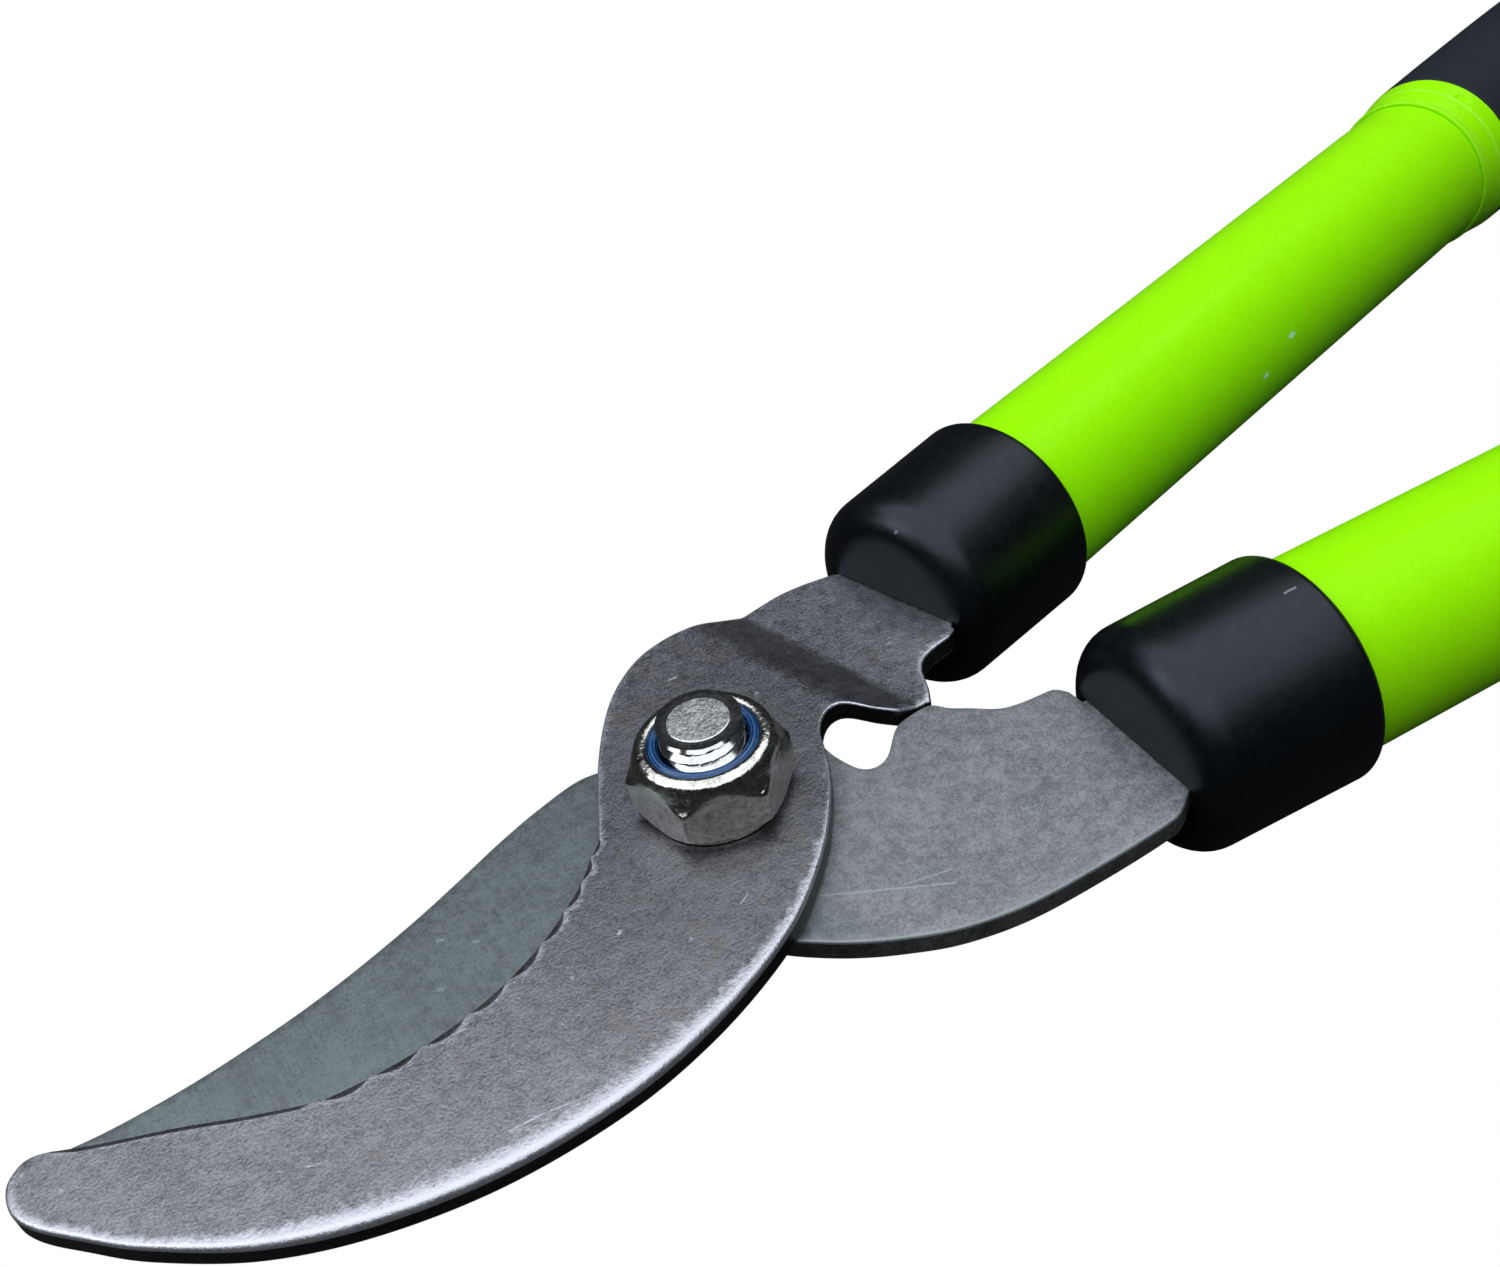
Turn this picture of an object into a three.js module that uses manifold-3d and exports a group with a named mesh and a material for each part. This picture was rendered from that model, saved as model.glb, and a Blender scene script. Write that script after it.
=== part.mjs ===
// Bypass loppers: a hooked counter blade and a curved cutting blade on one pivot bolt,
// each blade's tang held in a round tube handle with a collar, a ferrule and a grip.
// Millimetres. Origin: on the pivot axis, at the outer face of the bolt's head.
// +X runs back between the two handles, +Z runs along the bolt towards the lock nut.
import * as THREE from 'three';
import { mergeVertices } from 'three/addons/utils/BufferGeometryUtils.js';
import Module from 'manifold-3d';

const wasm = await Module();
wasm.setup();

// ---- driving dimensions ----
const PLATE_T = 2.8;
const PLATE_GAP = 0.2;
const HEAD_H = 6.4;
const HEX_AF = 17;
const WASHER_T = 1.6;
const WASHER_R = 10.5;
const SHANK_R = 4.95;
const PIVOT_HOLE_R = 5.03;
const NUT_BORE_R = 5.2;
const NUT_H = 9.0;
const NUT_HEX_H = 6.6;
const NUT_LIP_R = 8.35;
const NUT_FOOT_R = 9.0;
const NUT_FOOT_H = 0.6;
const RING_R = 6.4;
const BOLT_TOP = 11.8;
const HANDLE_SPLAY = 9.07;
const HOOK_AXIS_Y = 9.51;
const BLADE_AXIS_Y = -19.51;
const TUBE_R = 12.7;
const TUBE_WALL = 1.2;
const TUBE_START = 5.8;
const COLLAR_R = 14.3;
const COLLAR_REAR_R = 14.7;
const COLLAR_LENGTH = 23.6;
const COLLAR_FACE_T = 5.5;
const COLLAR_ROUND = 4.4;
const BORE_GAP = 0.25;
const HOOK_COLLAR_S = 41.2;
const BLADE_COLLAR_S = 43.8;
const FERRULE_S = 136.3;
const FERRULE_LENGTH = 7.8;
const GRIP_LENGTH = 205;
const TUBE_LENGTH = FERRULE_S + FERRULE_LENGTH + GRIP_LENGTH - TUBE_START;
const GRIP_R = 14.6;
const CAP_R = 15.6;
const TANG_LENGTH = 41;
const TANG_HALF = 9.4;
const TANG_NECK = 8.6;
const HOOK_SLOT_LOW = -10.5;
const BLADE_SLOT_LOW = -9.9;
const RIVET_R = 2.5;
const RIVET_S = 15;
const BEVEL_W = 4.5;
const SCALLOP_DEPTH = 0.75;
const SEGMENTS = 36;

// ---- ends of the tangs along their handles ----
const HOOK_TANG_END = HOOK_COLLAR_S + TANG_LENGTH;
const BLADE_TANG_END = BLADE_COLLAR_S + TANG_LENGTH;

// ---- heights of the stack on the bolt ----
const WASHER_Z = HEAD_H + PLATE_GAP;
const BLADE_Z = WASHER_Z + WASHER_T + PLATE_GAP;
const BLADE_TOP = BLADE_Z + PLATE_T;
const HOOK_Z = BLADE_TOP + PLATE_GAP;
const HOOK_TOP = HOOK_Z + PLATE_T;
const NUT_Z = HOOK_TOP + PLATE_GAP;
const TUBE_Z = BLADE_Z + PLATE_T / 2;

// ---- the joggle that drops the hook's tang into the cutting blade's plane ----
const BEND = new THREE.Vector2(0.9904, 0.1383);
const BEND_START = 18.8;
const BEND_STEPS = [0, 2, 4, 6, 8];
const BEND_DROPS = [0, 0.35, 1.15, 2.05, 3.0];

const v2 = (p) => new THREE.Vector2(p[0], p[1]);
const smooth = (points, count) => new THREE.SplineCurve(points.map(v2)).getSpacedPoints(count);
const polar = (r, deg) => [r * Math.cos(deg * Math.PI / 180), r * Math.sin(deg * Math.PI / 180)];

// a point at s along a handle's axis and n to its left
function along(foot, deg, s, n) {
  const a = deg * Math.PI / 180;
  const x = s * Math.cos(a) - (foot + n) * Math.sin(a);
  const y = s * Math.sin(a) + (foot + n) * Math.cos(a);
  return [x, y];
}
const onHook = (s, n) => along(HOOK_AXIS_Y, HANDLE_SPLAY, s, n);
const onBlade = (s, n) => along(BLADE_AXIS_Y, -HANDLE_SPLAY, s, n);

function joinPoints(...runs) {
  const out = [];
  for (const run of runs) {
    for (const raw of run) {
      const p = raw.isVector2 ? raw : v2(raw);
      const last = out[out.length - 1];
      if (!last || last.distanceTo(p) > 0.05) out.push(p);
    }
  }
  if (out[0].distanceTo(out[out.length - 1]) < 0.05) out.pop();
  return out;
}

// ---- solids for joins and cuts ----
function toSolid(geometry) {
  const g = geometry.clone();
  g.deleteAttribute('normal');
  g.deleteAttribute('uv');
  const m = mergeVertices(g, 1e-4);
  const vertProperties = new Float32Array(m.attributes.position.array);
  const triVerts = new Uint32Array(m.index.array);
  return new wasm.Manifold(new wasm.Mesh({ numProp: 3, vertProperties, triVerts }));
}

function toGeometry(solid) {
  const mesh = solid.getMesh();
  const g = new THREE.BufferGeometry();
  g.setAttribute('position', new THREE.BufferAttribute(new Float32Array(mesh.vertProperties), 3));
  g.setIndex(new THREE.BufferAttribute(new Uint32Array(mesh.triVerts), 1));
  return g;
}

// ---- plates ----
// the part of an outline on one side of a straight line across it
function clip(points, limit, keepBelow) {
  const out = [];
  for (let i = 0; i < points.length; i += 1) {
    const a = points[i];
    const b = points[(i + 1) % points.length];
    const da = a.dot(BEND) - limit;
    const db = b.dot(BEND) - limit;
    const inA = keepBelow ? da <= 0 : da >= 0;
    const inB = keepBelow ? db <= 0 : db >= 0;
    if (inA) out.push(a);
    if (inA !== inB && da !== 0 && db !== 0) {
      const [p, q, dp, dq] = da < db ? [a, b, da, db] : [b, a, db, da];
      out.push(p.clone().lerp(q, dp / (dp - dq)));
    }
  }
  return out;
}

// triangles over one flat area, at the height that top() gives, facing up or down
function cover(positions, contour, holes, top, up) {
  const all = contour.concat(...holes);
  for (const tri of THREE.ShapeUtils.triangulateShape(contour, holes)) {
    const [a, b, c] = tri.map((i) => all[i]);
    const ccw = (b.x - a.x) * (c.y - a.y) - (b.y - a.y) * (c.x - a.x) > 0;
    const order = ccw === up ? [a, b, c] : [a, c, b];
    for (const p of order) positions.push(p.x, p.y, top(p));
  }
}

function wall(positions, upper, lower, topZ, lowZ) {
  for (let i = 0; i < upper.length; i += 1) {
    const j = (i + 1) % upper.length;
    const a = [upper[i].x, upper[i].y, topZ(upper[i])];
    const b = [upper[j].x, upper[j].y, topZ(upper[j])];
    const c = [lower[j].x, lower[j].y, lowZ(lower[j])];
    const d = [lower[i].x, lower[i].y, lowZ(lower[i])];
    positions.push(...a, ...d, ...c, ...a, ...c, ...b);
  }
}

function closed(positions) {
  const g = new THREE.BufferGeometry();
  g.setAttribute('position', new THREE.Float32BufferAttribute(positions, 3));
  return mergeVertices(g, 1e-4);
}

function circlePoints(x, y, r, count) {
  const out = [];
  for (let i = 0; i < count; i += 1) {
    const a = i * 2 * Math.PI / count;
    out.push(new THREE.Vector2(x + r * Math.cos(a), y + r * Math.sin(a)));
  }
  return out;
}

function hookDrop(p) {
  const d = p.dot(BEND) - BEND_START;
  if (d <= 0) return 0;
  for (let i = 1; i < BEND_STEPS.length; i += 1) {
    if (d <= BEND_STEPS[i] + 1e-9) {
      const k = (d - BEND_STEPS[i - 1]) / (BEND_STEPS[i] - BEND_STEPS[i - 1]);
      return BEND_DROPS[i - 1] + k * (BEND_DROPS[i] - BEND_DROPS[i - 1]);
    }
  }
  return BEND_DROPS[BEND_DROPS.length - 1];
}

// ---- outline of the hook, anticlockwise from its tip ----
const HOOK_BACK = [
  [-81, 10], [-83.3, 8.4], [-84, 5], [-82.8, 1.5], [-79.5, -3], [-74.5, -9], [-66, -16.5], [-56, -22],
  [-44, -25.8], [-31, -27.2], [-20, -26.2], [-10, -23.5], [-3, -20.2], [4, -15], [9, -9.8], [12, -5.8],
  [13.8, -2.5],
];
const HOOK_NOTCH = [
  [13.8, -2.5], [15, -0.3], [16.8, 1.4], [18.6, 2], [20.3, 1.4], [22.3, -1.1], [24.6, -2.9],
];
const HOOK_TAB_SIDE = [
  [29.2, -3.2], [30.4, -1.9], [31.6, 0.3], [32.5, 1.9], [33.9, 3.2], [36, 3.8], [38.8, 4],
];
const HOOK_TOP_EDGE = [
  [37.4, 25.6], [35.5, 26.3], [32.6, 27.2], [29, 27.8], [24, 27.7], [20, 27.7], [16.8, 27.9], [12.2, 28.6],
  [7.3, 28], [2.3, 25.4], [-2.4, 21.1], [-7.9, 14], [-13.8, 4.4],
];
const CUSPS = [
  [-13.8, 4.4], [-16.2, 2.6], [-19.0, 0.2], [-22.6, -2.0], [-27.0, -4.2], [-32.2, -5.9], [-37.6, -6.8],
  [-43.1, -7.0], [-48.7, -6.5], [-54.2, -5.4],
];
const HOOK_INNER = [
  [-54.2, -5.4], [-60.4, -1.8], [-67, 2.4], [-73.8, 6.3], [-77.4, 8.6], [-79, 9.6], [-81, 10],
];

// one shallow bite between two cusps of the hook's gripping edge
function bites(cusps) {
  const out = [];
  for (let i = 1; i < cusps.length; i += 1) {
    const a = v2(cusps[i - 1]);
    const b = v2(cusps[i]);
    const away = new THREE.Vector2(-(b.y - a.y), b.x - a.x).normalize();
    const depth = Math.min(SCALLOP_DEPTH, a.distanceTo(b) * 0.16);
    out.push(a);
    for (const k of [0.22, 0.5, 0.78]) {
      const p = a.clone().lerp(b, k);
      out.push(p.addScaledVector(away, depth * (k === 0.5 ? 1 : 0.72)));
    }
  }
  out.push(v2(cusps[cusps.length - 1]));
  return out;
}

const hookOutline = joinPoints(
  smooth(HOOK_BACK, 46),
  smooth(HOOK_NOTCH, 14),
  smooth(HOOK_TAB_SIDE, 9),
  [onHook(40.6, -11.2), onHook(40.9, -10.5), onHook(41.9, -10), onHook(42.6, -TANG_HALF)],
  [onHook(HOOK_TANG_END - 2, -TANG_HALF), onHook(HOOK_TANG_END, 2 - TANG_HALF)],
  [onHook(HOOK_TANG_END, TANG_HALF - 2), onHook(HOOK_TANG_END - 2, TANG_HALF)],
  [onHook(41.3, TANG_HALF)],
  smooth(HOOK_TOP_EDGE, 30),
  bites(CUSPS),
  smooth(HOOK_INNER, 12),
);

function hookPlate() {
  const positions = [];
  const limits = BEND_STEPS.map((d) => BEND_START + d);
  const ringPoints = [];
  const topZ = (p) => HOOK_TOP - hookDrop(p);
  const lowZ = (p) => HOOK_Z - hookDrop(p);
  const hole = circlePoints(0, 0, PIVOT_HOLE_R, 40);
  const rivet = onHook(HOOK_COLLAR_S + RIVET_S, 0);
  const rivetHole = circlePoints(rivet[0], rivet[1], RIVET_R + 0.2, 16);
  for (let i = 0; i <= limits.length; i += 1) {
    let area = hookOutline;
    if (i > 0) area = clip(area, limits[i - 1], false);
    if (i < limits.length) area = clip(area, limits[i], true);
    const holes = i === 0 ? [hole] : i === limits.length ? [rivetHole] : [];
    cover(positions, area, holes, topZ, true);
    cover(positions, area, holes, lowZ, false);
  }
  // the rim, with a corner wherever a bend line crosses it
  for (let i = 0; i < hookOutline.length; i += 1) {
    const a = hookOutline[i];
    const b = hookOutline[(i + 1) % hookOutline.length];
    ringPoints.push(a);
    const da = a.dot(BEND);
    const db = b.dot(BEND);
    const cuts = limits.filter((l) => (da - l) * (db - l) < 0);
    cuts.sort((l, m) => (db > da ? l - m : m - l));
    for (const l of cuts) {
      const [p, q, dp, dq] = da < db ? [a, b, da - l, db - l] : [b, a, db - l, da - l];
      ringPoints.push(p.clone().lerp(q, dp / (dp - dq)));
    }
  }
  wall(positions, ringPoints, ringPoints, topZ, lowZ);
  for (const h of [hole, rivetHole]) {
    const inward = h.slice().reverse();
    wall(positions, inward, inward, topZ, lowZ);
  }
  return closed(positions);
}

// ---- outline of the cutting blade, anticlockwise from its tip ----
const CUTTING_EDGE = [
  [-80.3, 11.6], [-75.5, 4.2], [-67.5, -2.8], [-58, -8.2], [-47, -12.2], [-35, -14.6], [-23, -15.4], [-12, -14.6],
];
const BLADE_BELLY = [
  [-12, -14.6], [-8.6, -17.6], [-5.3, -21.8], [-1.6, -25.7], [2.6, -29.1], [8.0, -32.5], [15.3, -35.1],
  [24.7, -36.6], [33.6, -37.4], [36.2, -37.0], [38, -36], [40.6, -34.9],
];
const BLADE_SHOULDER = [
  [40.6, -12.6], [36.7, -11.7], [34.0, -10.5], [31.8, -8.0], [30, -6.0], [29.3, -4.6], [28.6, -3.7],
];
const BLADE_WINDOW = [
  [28.6, -3.7], [26.6, -3.5], [24.2, -3.6], [22.8, -4.2], [21.3, -5.4], [19.7, -6.7], [18.2, -7.3],
  [16.8, -7.1], [15.8, -6.0], [15.3, -3.9], [15.1, -1.9],
];
const BLADE_SPINE = [
  [-4.0, 15.6], [-8.9, 17.5], [-15.1, 17.0], [-21.5, 15.7], [-28, 13.9], [-34.2, 12.3], [-40, 11.1],
  [-45.4, 10.2], [-50.7, 9.6], [-56, 9.3], [-62, 9.2], [-68, 9.5], [-74, 10.2], [-80.3, 11.6],
];

function bladePlate() {
  const edge = smooth(CUTTING_EDGE, 26);
  const disc = [];
  for (let deg = 0; deg <= 96; deg += 8) disc.push(polar(15.2, deg));
  const rest = joinPoints(
    smooth(BLADE_BELLY, 24),
    [onBlade(47.2, -TANG_NECK), onBlade(BLADE_TANG_END - 2, -TANG_NECK)],
    [onBlade(BLADE_TANG_END, 2 - TANG_NECK), onBlade(BLADE_TANG_END, TANG_HALF - 2)],
    [onBlade(BLADE_TANG_END - 2, TANG_HALF), onBlade(43.5, TANG_HALF), onBlade(43.3, 11.8)],
    [onBlade(42.6, 12.9)],
    smooth(BLADE_SHOULDER, 12),
    smooth(BLADE_WINDOW, 14),
    disc,
    smooth(BLADE_SPINE, 24),
  );
  const rim = joinPoints(edge, rest);
  // the far side of the rim: the cutting edge is ground back from the plane it shares with the hook
  const low = rim.map((p, i) => {
    if (i >= edge.length - 1) return p.clone();
    const a = rim[Math.max(i - 1, 0)];
    const b = rim[i + 1];
    const inward = new THREE.Vector2(-(b.y - a.y), b.x - a.x).normalize();
    const fade = Math.min(1, i / 6, (edge.length - 1 - i) / 3);
    return p.clone().addScaledVector(inward, BEVEL_W * fade);
  });
  const positions = [];
  const hole = circlePoints(0, 0, PIVOT_HOLE_R, 40);
  const rivet = onBlade(BLADE_COLLAR_S + RIVET_S, 0);
  const rivetHole = circlePoints(rivet[0], rivet[1], RIVET_R + 0.2, 16);
  cover(positions, rim, [hole, rivetHole], () => BLADE_TOP, true);
  cover(positions, low, [hole, rivetHole], () => BLADE_Z, false);
  wall(positions, rim, low, () => BLADE_TOP, () => BLADE_Z);
  for (const h of [hole, rivetHole]) {
    const inward = h.slice().reverse();
    wall(positions, inward, inward, () => BLADE_TOP, () => BLADE_Z);
  }
  return closed(positions);
}

// ---- turned pieces ----
// a profile of [radius, height] pairs turned about +Z, its outside run listed upwards
function turned(profile, count) {
  const g = new THREE.LatheGeometry(profile.map(v2), count);
  return mergeVertices(stripped(g.rotateX(Math.PI / 2)), 1e-4);
}
function stripped(g) {
  g.deleteAttribute('normal');
  g.deleteAttribute('uv');
  return g;
}
// the same, turned about +X
const turnedX = (profile, count) => turned(profile, count).rotateY(Math.PI / 2);

function hexBar(af, z0, z1) {
  const shape = new THREE.Shape();
  const r = af / Math.sqrt(3);
  for (let i = 0; i < 6; i += 1) {
    const p = polar(r, 37 + 60 * i);
    if (i === 0) shape.moveTo(p[0], p[1]);
    else shape.lineTo(p[0], p[1]);
  }
  const g = new THREE.ExtrudeGeometry(shape, { depth: z1 - z0, bevelEnabled: false });
  return g.translate(0, 0, z0);
}

function boltSolid() {
  const corner = HEX_AF / Math.sqrt(3);
  const cone = turned([
    [0, 0], [HEX_AF * 0.47, 0], [corner + 0.1, 1.3], [corner + 0.1, HEAD_H], [0, HEAD_H],
  ], 48);
  const head = toSolid(hexBar(HEX_AF, 0, HEAD_H)).intersect(toSolid(cone));
  const top = HOOK_TOP + BOLT_TOP;
  const shank = turned([
    [0, HEAD_H - 1], [SHANK_R, HEAD_H - 1], [SHANK_R, top - 0.9], [3.75, top], [0, top],
  ], 40);
  return toGeometry(head.add(toSolid(shank)));
}

function nutSolid() {
  const z = NUT_Z;
  const corner = HEX_AF / Math.sqrt(3);
  const skin = turned([
    [0, z], [8.9, z], [corner + 0.05, z + 0.7], [corner + 0.05, z + NUT_HEX_H - 1.6],
    [NUT_LIP_R + 0.1, z + NUT_HEX_H], [NUT_LIP_R, z + NUT_H - 0.8], [NUT_LIP_R - 0.7, z + NUT_H - 0.15],
    [RING_R + 0.5, z + NUT_H], [0, z + NUT_H],
  ], 48);
  const hex = toSolid(hexBar(HEX_AF, z - 1, z + NUT_HEX_H));
  const barrel = turned([
    [0, z + NUT_HEX_H - 2], [NUT_LIP_R + 0.05, z + NUT_HEX_H - 2], [NUT_LIP_R + 0.05, z + NUT_H + 1],
    [0, z + NUT_H + 1],
  ], 48);
  const bore = turned([
    [0, z - 1], [NUT_BORE_R, z - 1], [NUT_BORE_R, z + 6.4], [RING_R, z + 6.4], [RING_R, z + NUT_H + 1],
    [0, z + NUT_H + 1],
  ], 40);
  const foot = turned([[0, z], [NUT_FOOT_R, z], [NUT_FOOT_R, z + NUT_FOOT_H], [0, z + NUT_FOOT_H]], 48);
  const body = hex.add(toSolid(barrel)).intersect(toSolid(skin)).add(toSolid(foot));
  return toGeometry(body.subtract(toSolid(bore)));
}

function ringSection(r0, z0, r1, z1, count) {
  return turned([[r0, z0], [r1, z0], [r1, z1], [r0, z1], [r0, z0]], count);
}

// the collar's face is slotted for the tang, from slotLow to slotHigh across the handle
function collarSolid(slotLow, slotHigh) {
  const bore = TUBE_R + BORE_GAP;
  const profile = [[0, 0], [COLLAR_R - COLLAR_ROUND, 0]];
  for (const deg of [22, 45, 68, 90]) {
    const [c, s] = polar(COLLAR_ROUND, deg);
    profile.push([COLLAR_R - COLLAR_ROUND + s, COLLAR_ROUND - c]);
  }
  profile.push([COLLAR_REAR_R, COLLAR_LENGTH - 1.4], [COLLAR_REAR_R - 0.45, COLLAR_LENGTH - 0.45]);
  profile.push([COLLAR_REAR_R - 1.3, COLLAR_LENGTH], [bore, COLLAR_LENGTH]);
  profile.push([bore, COLLAR_FACE_T], [0, COLLAR_FACE_T]);
  const slot = new THREE.BoxGeometry(12, slotHigh - slotLow + 2 * BORE_GAP, PLATE_T + 2 * BORE_GAP);
  slot.translate(2, (slotHigh + slotLow) / 2, 0);
  return toGeometry(toSolid(turnedX(profile, SEGMENTS)).subtract(toSolid(slot)));
}

function rivetBar(r, half) {
  return turned([[0, -half], [r, -half], [r, half], [0, half]], 16).translate(RIVET_S, 0, 0);
}

function tubeSolid() {
  const inner = TUBE_R - TUBE_WALL;
  const end = TUBE_START + TUBE_LENGTH;
  const tube = turnedX([
    [inner, TUBE_START], [TUBE_R, TUBE_START], [TUBE_R, end], [inner, end], [inner, TUBE_START],
  ], SEGMENTS);
  return toGeometry(toSolid(tube).subtract(toSolid(rivetBar(RIVET_R + 0.2, 20))));
}

function plugSolid() {
  const r = TUBE_R - TUBE_WALL - BORE_GAP;
  const body = turnedX([
    [0, TUBE_START], [r, TUBE_START], [r, TANG_LENGTH + 5], [r - 1, TANG_LENGTH + 6], [0, TANG_LENGTH + 6],
  ], SEGMENTS);
  const slot = new THREE.BoxGeometry(TANG_LENGTH + 1, 2 * (TANG_HALF + BORE_GAP), PLATE_T + 2 * BORE_GAP);
  slot.translate(TANG_LENGTH / 2, 0, 0);
  const cut = toSolid(body).subtract(toSolid(slot));
  return toGeometry(cut.subtract(toSolid(rivetBar(RIVET_R + 0.2, 20))));
}

function ferruleSolid() {
  const bore = TUBE_R + BORE_GAP;
  return turnedX([
    [bore, 0], [bore + 0.25, 0], [bore + 0.4, 1.2], [bore + 0.75, 4.5], [bore + 1.1, FERRULE_LENGTH],
    [bore, FERRULE_LENGTH], [bore, 0],
  ], SEGMENTS);
}

function gripSolid() {
  const bore = TUBE_R + BORE_GAP;
  return turnedX([
    [bore, 0], [bore + 1.15, 0], [14.35, 12], [GRIP_R, 32], [GRIP_R, 120], [14.9, 170],
    [CAP_R, GRIP_LENGTH - 6], [CAP_R, GRIP_LENGTH], [bore, GRIP_LENGTH], [bore, 0],
  ], SEGMENTS);
}

function capSolid() {
  const plug = TUBE_R - TUBE_WALL - BORE_GAP;
  return turnedX([
    [0, -12], [plug - 0.6, -12], [plug, -11], [plug, 0], [CAP_R, 0], [CAP_R, 3.6], [CAP_R - 1.2, 5.4],
    [CAP_R - 4, 6.6], [0, 7.2],
  ], SEGMENTS);
}

// ---- materials ----
const satinSteel = new THREE.MeshStandardMaterial({ color: 0x6e6c70, roughness: 0.5, metalness: 0.85 });
const groundSteel = new THREE.MeshStandardMaterial({ color: 0x747b7b, roughness: 0.42, metalness: 0.85 });
const nickel = new THREE.MeshStandardMaterial({ color: 0xc9c6bf, roughness: 0.2, metalness: 1.0 });
const zincSteel = new THREE.MeshStandardMaterial({ color: 0xa9a9a8, roughness: 0.35, metalness: 0.9 });
const blueNylon = new THREE.MeshStandardMaterial({ color: 0x1c3f86, roughness: 0.45, metalness: 0.0 });
const blackPlastic = new THREE.MeshStandardMaterial({ color: 0x14161a, roughness: 0.42, metalness: 0.0 });
const greyPlastic = new THREE.MeshStandardMaterial({ color: 0x3a3c3f, roughness: 0.6, metalness: 0.0 });
const limePaint = new THREE.MeshStandardMaterial({ color: 0x8be80a, roughness: 0.3, metalness: 0.0 });
const gripRubber = new THREE.MeshStandardMaterial({ color: 0x23272e, roughness: 0.75, metalness: 0.0 });

// ---- the loppers ----
const group = new THREE.Group();

function piece(parent, name, geometry, material) {
  const mesh = new THREE.Mesh(geometry, material.clone());
  mesh.name = name;
  parent.add(mesh);
  return mesh;
}

piece(group, 'hook_blade', hookPlate(), satinSteel);
piece(group, 'cutting_blade', bladePlate(), groundSteel);
piece(group, 'pivot_bolt', boltSolid(), zincSteel);
const washer = ringSection(PIVOT_HOLE_R, WASHER_Z, WASHER_R, WASHER_Z + WASHER_T, 40);
piece(group, 'pivot_washer', washer, zincSteel);
piece(group, 'lock_nut', nutSolid(), nickel);
const nylonLow = NUT_Z + 6.6;
const nylon = ringSection(NUT_BORE_R, nylonLow, RING_R - 0.25, NUT_Z + NUT_H - 0.1, 40);
piece(group, 'lock_nut_insert', nylon, blueNylon);

function handle(prefix, splay, axisY, collarS, slotLow) {
  const arm = new THREE.Group();
  const a = splay * Math.PI / 180;
  arm.rotation.z = a;
  const x = -axisY * Math.sin(a) + collarS * Math.cos(a);
  const y = axisY * Math.cos(a) + collarS * Math.sin(a);
  arm.position.set(x, y, TUBE_Z);
  group.add(arm);
  piece(arm, `${prefix}_collar`, collarSolid(slotLow, TANG_HALF), blackPlastic);
  piece(arm, `${prefix}_tube`, tubeSolid(), limePaint);
  piece(arm, `${prefix}_tang_plug`, plugSolid(), greyPlastic);
  piece(arm, `${prefix}_tang_rivet`, rivetBar(RIVET_R, TUBE_R - 0.1), zincSteel);
  piece(arm, `${prefix}_ferrule`, ferruleSolid(), limePaint).position.x = FERRULE_S;
  const gripX = FERRULE_S + FERRULE_LENGTH + BORE_GAP;
  piece(arm, `${prefix}_grip`, gripSolid(), gripRubber).position.x = gripX;
  const capX = gripX + GRIP_LENGTH + BORE_GAP;
  piece(arm, `${prefix}_end_cap`, capSolid(), blackPlastic).position.x = capX;
}

handle('hook', HANDLE_SPLAY, HOOK_AXIS_Y, HOOK_COLLAR_S, HOOK_SLOT_LOW);
handle('blade', -HANDLE_SPLAY, BLADE_AXIS_Y, BLADE_COLLAR_S, BLADE_SLOT_LOW);

export default group;
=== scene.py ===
"""Bypass loppers: the visible pieces, their finishes and the stage, built around the fixed frame.

Lists and constants are millimetres, meshes and the stage are metres. The pivot axis is +Z through the origin,
+X runs back between the two handles, and the hook's handle lies on the +Y side.
"""

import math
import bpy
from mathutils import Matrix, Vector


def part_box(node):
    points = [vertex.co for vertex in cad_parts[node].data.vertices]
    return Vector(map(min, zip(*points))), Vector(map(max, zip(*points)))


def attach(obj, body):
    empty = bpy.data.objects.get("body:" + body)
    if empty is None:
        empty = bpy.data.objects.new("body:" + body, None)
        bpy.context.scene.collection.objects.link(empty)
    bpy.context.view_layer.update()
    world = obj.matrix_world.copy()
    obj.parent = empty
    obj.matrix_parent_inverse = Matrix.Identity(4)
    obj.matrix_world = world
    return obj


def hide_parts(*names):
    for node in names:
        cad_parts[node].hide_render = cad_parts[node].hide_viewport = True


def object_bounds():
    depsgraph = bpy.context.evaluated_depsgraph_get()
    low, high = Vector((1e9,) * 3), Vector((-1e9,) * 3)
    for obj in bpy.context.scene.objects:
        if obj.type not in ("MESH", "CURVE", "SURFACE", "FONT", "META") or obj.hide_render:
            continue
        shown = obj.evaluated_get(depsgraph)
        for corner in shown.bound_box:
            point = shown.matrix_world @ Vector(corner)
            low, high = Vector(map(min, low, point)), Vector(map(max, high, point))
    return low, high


bl_info = {
    "name": "Bypass Loppers",
    "version": (1, 0, 0),
    "blender": (4, 5, 0),
    "location": "3D View > Sidebar > Loppers",
    "description": "Builds a pair of bypass loppers piece by piece around a fixed frame",
    "category": "Object",
}

import bmesh
import bpy
import numpy as np
from mathutils import Matrix, Vector
from mathutils.geometry import delaunay_2d_cdt

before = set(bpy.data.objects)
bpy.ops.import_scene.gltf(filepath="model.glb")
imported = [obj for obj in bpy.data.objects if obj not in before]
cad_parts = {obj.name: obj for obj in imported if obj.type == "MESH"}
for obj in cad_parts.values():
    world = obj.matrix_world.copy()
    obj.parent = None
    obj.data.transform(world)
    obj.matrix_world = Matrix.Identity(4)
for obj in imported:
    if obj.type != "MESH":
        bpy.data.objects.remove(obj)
CAD_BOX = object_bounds()

MM = 0.001
HOOK_SIDE = "hook_side"
BLADE_SIDE = "blade_side"


def low_of(node):
    """Height of a frame node's lowest corner, in millimetres."""
    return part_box(node)[0].z / MM


def top_of(node):
    """Height of a frame node's highest corner, in millimetres."""
    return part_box(node)[1].z / MM


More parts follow.
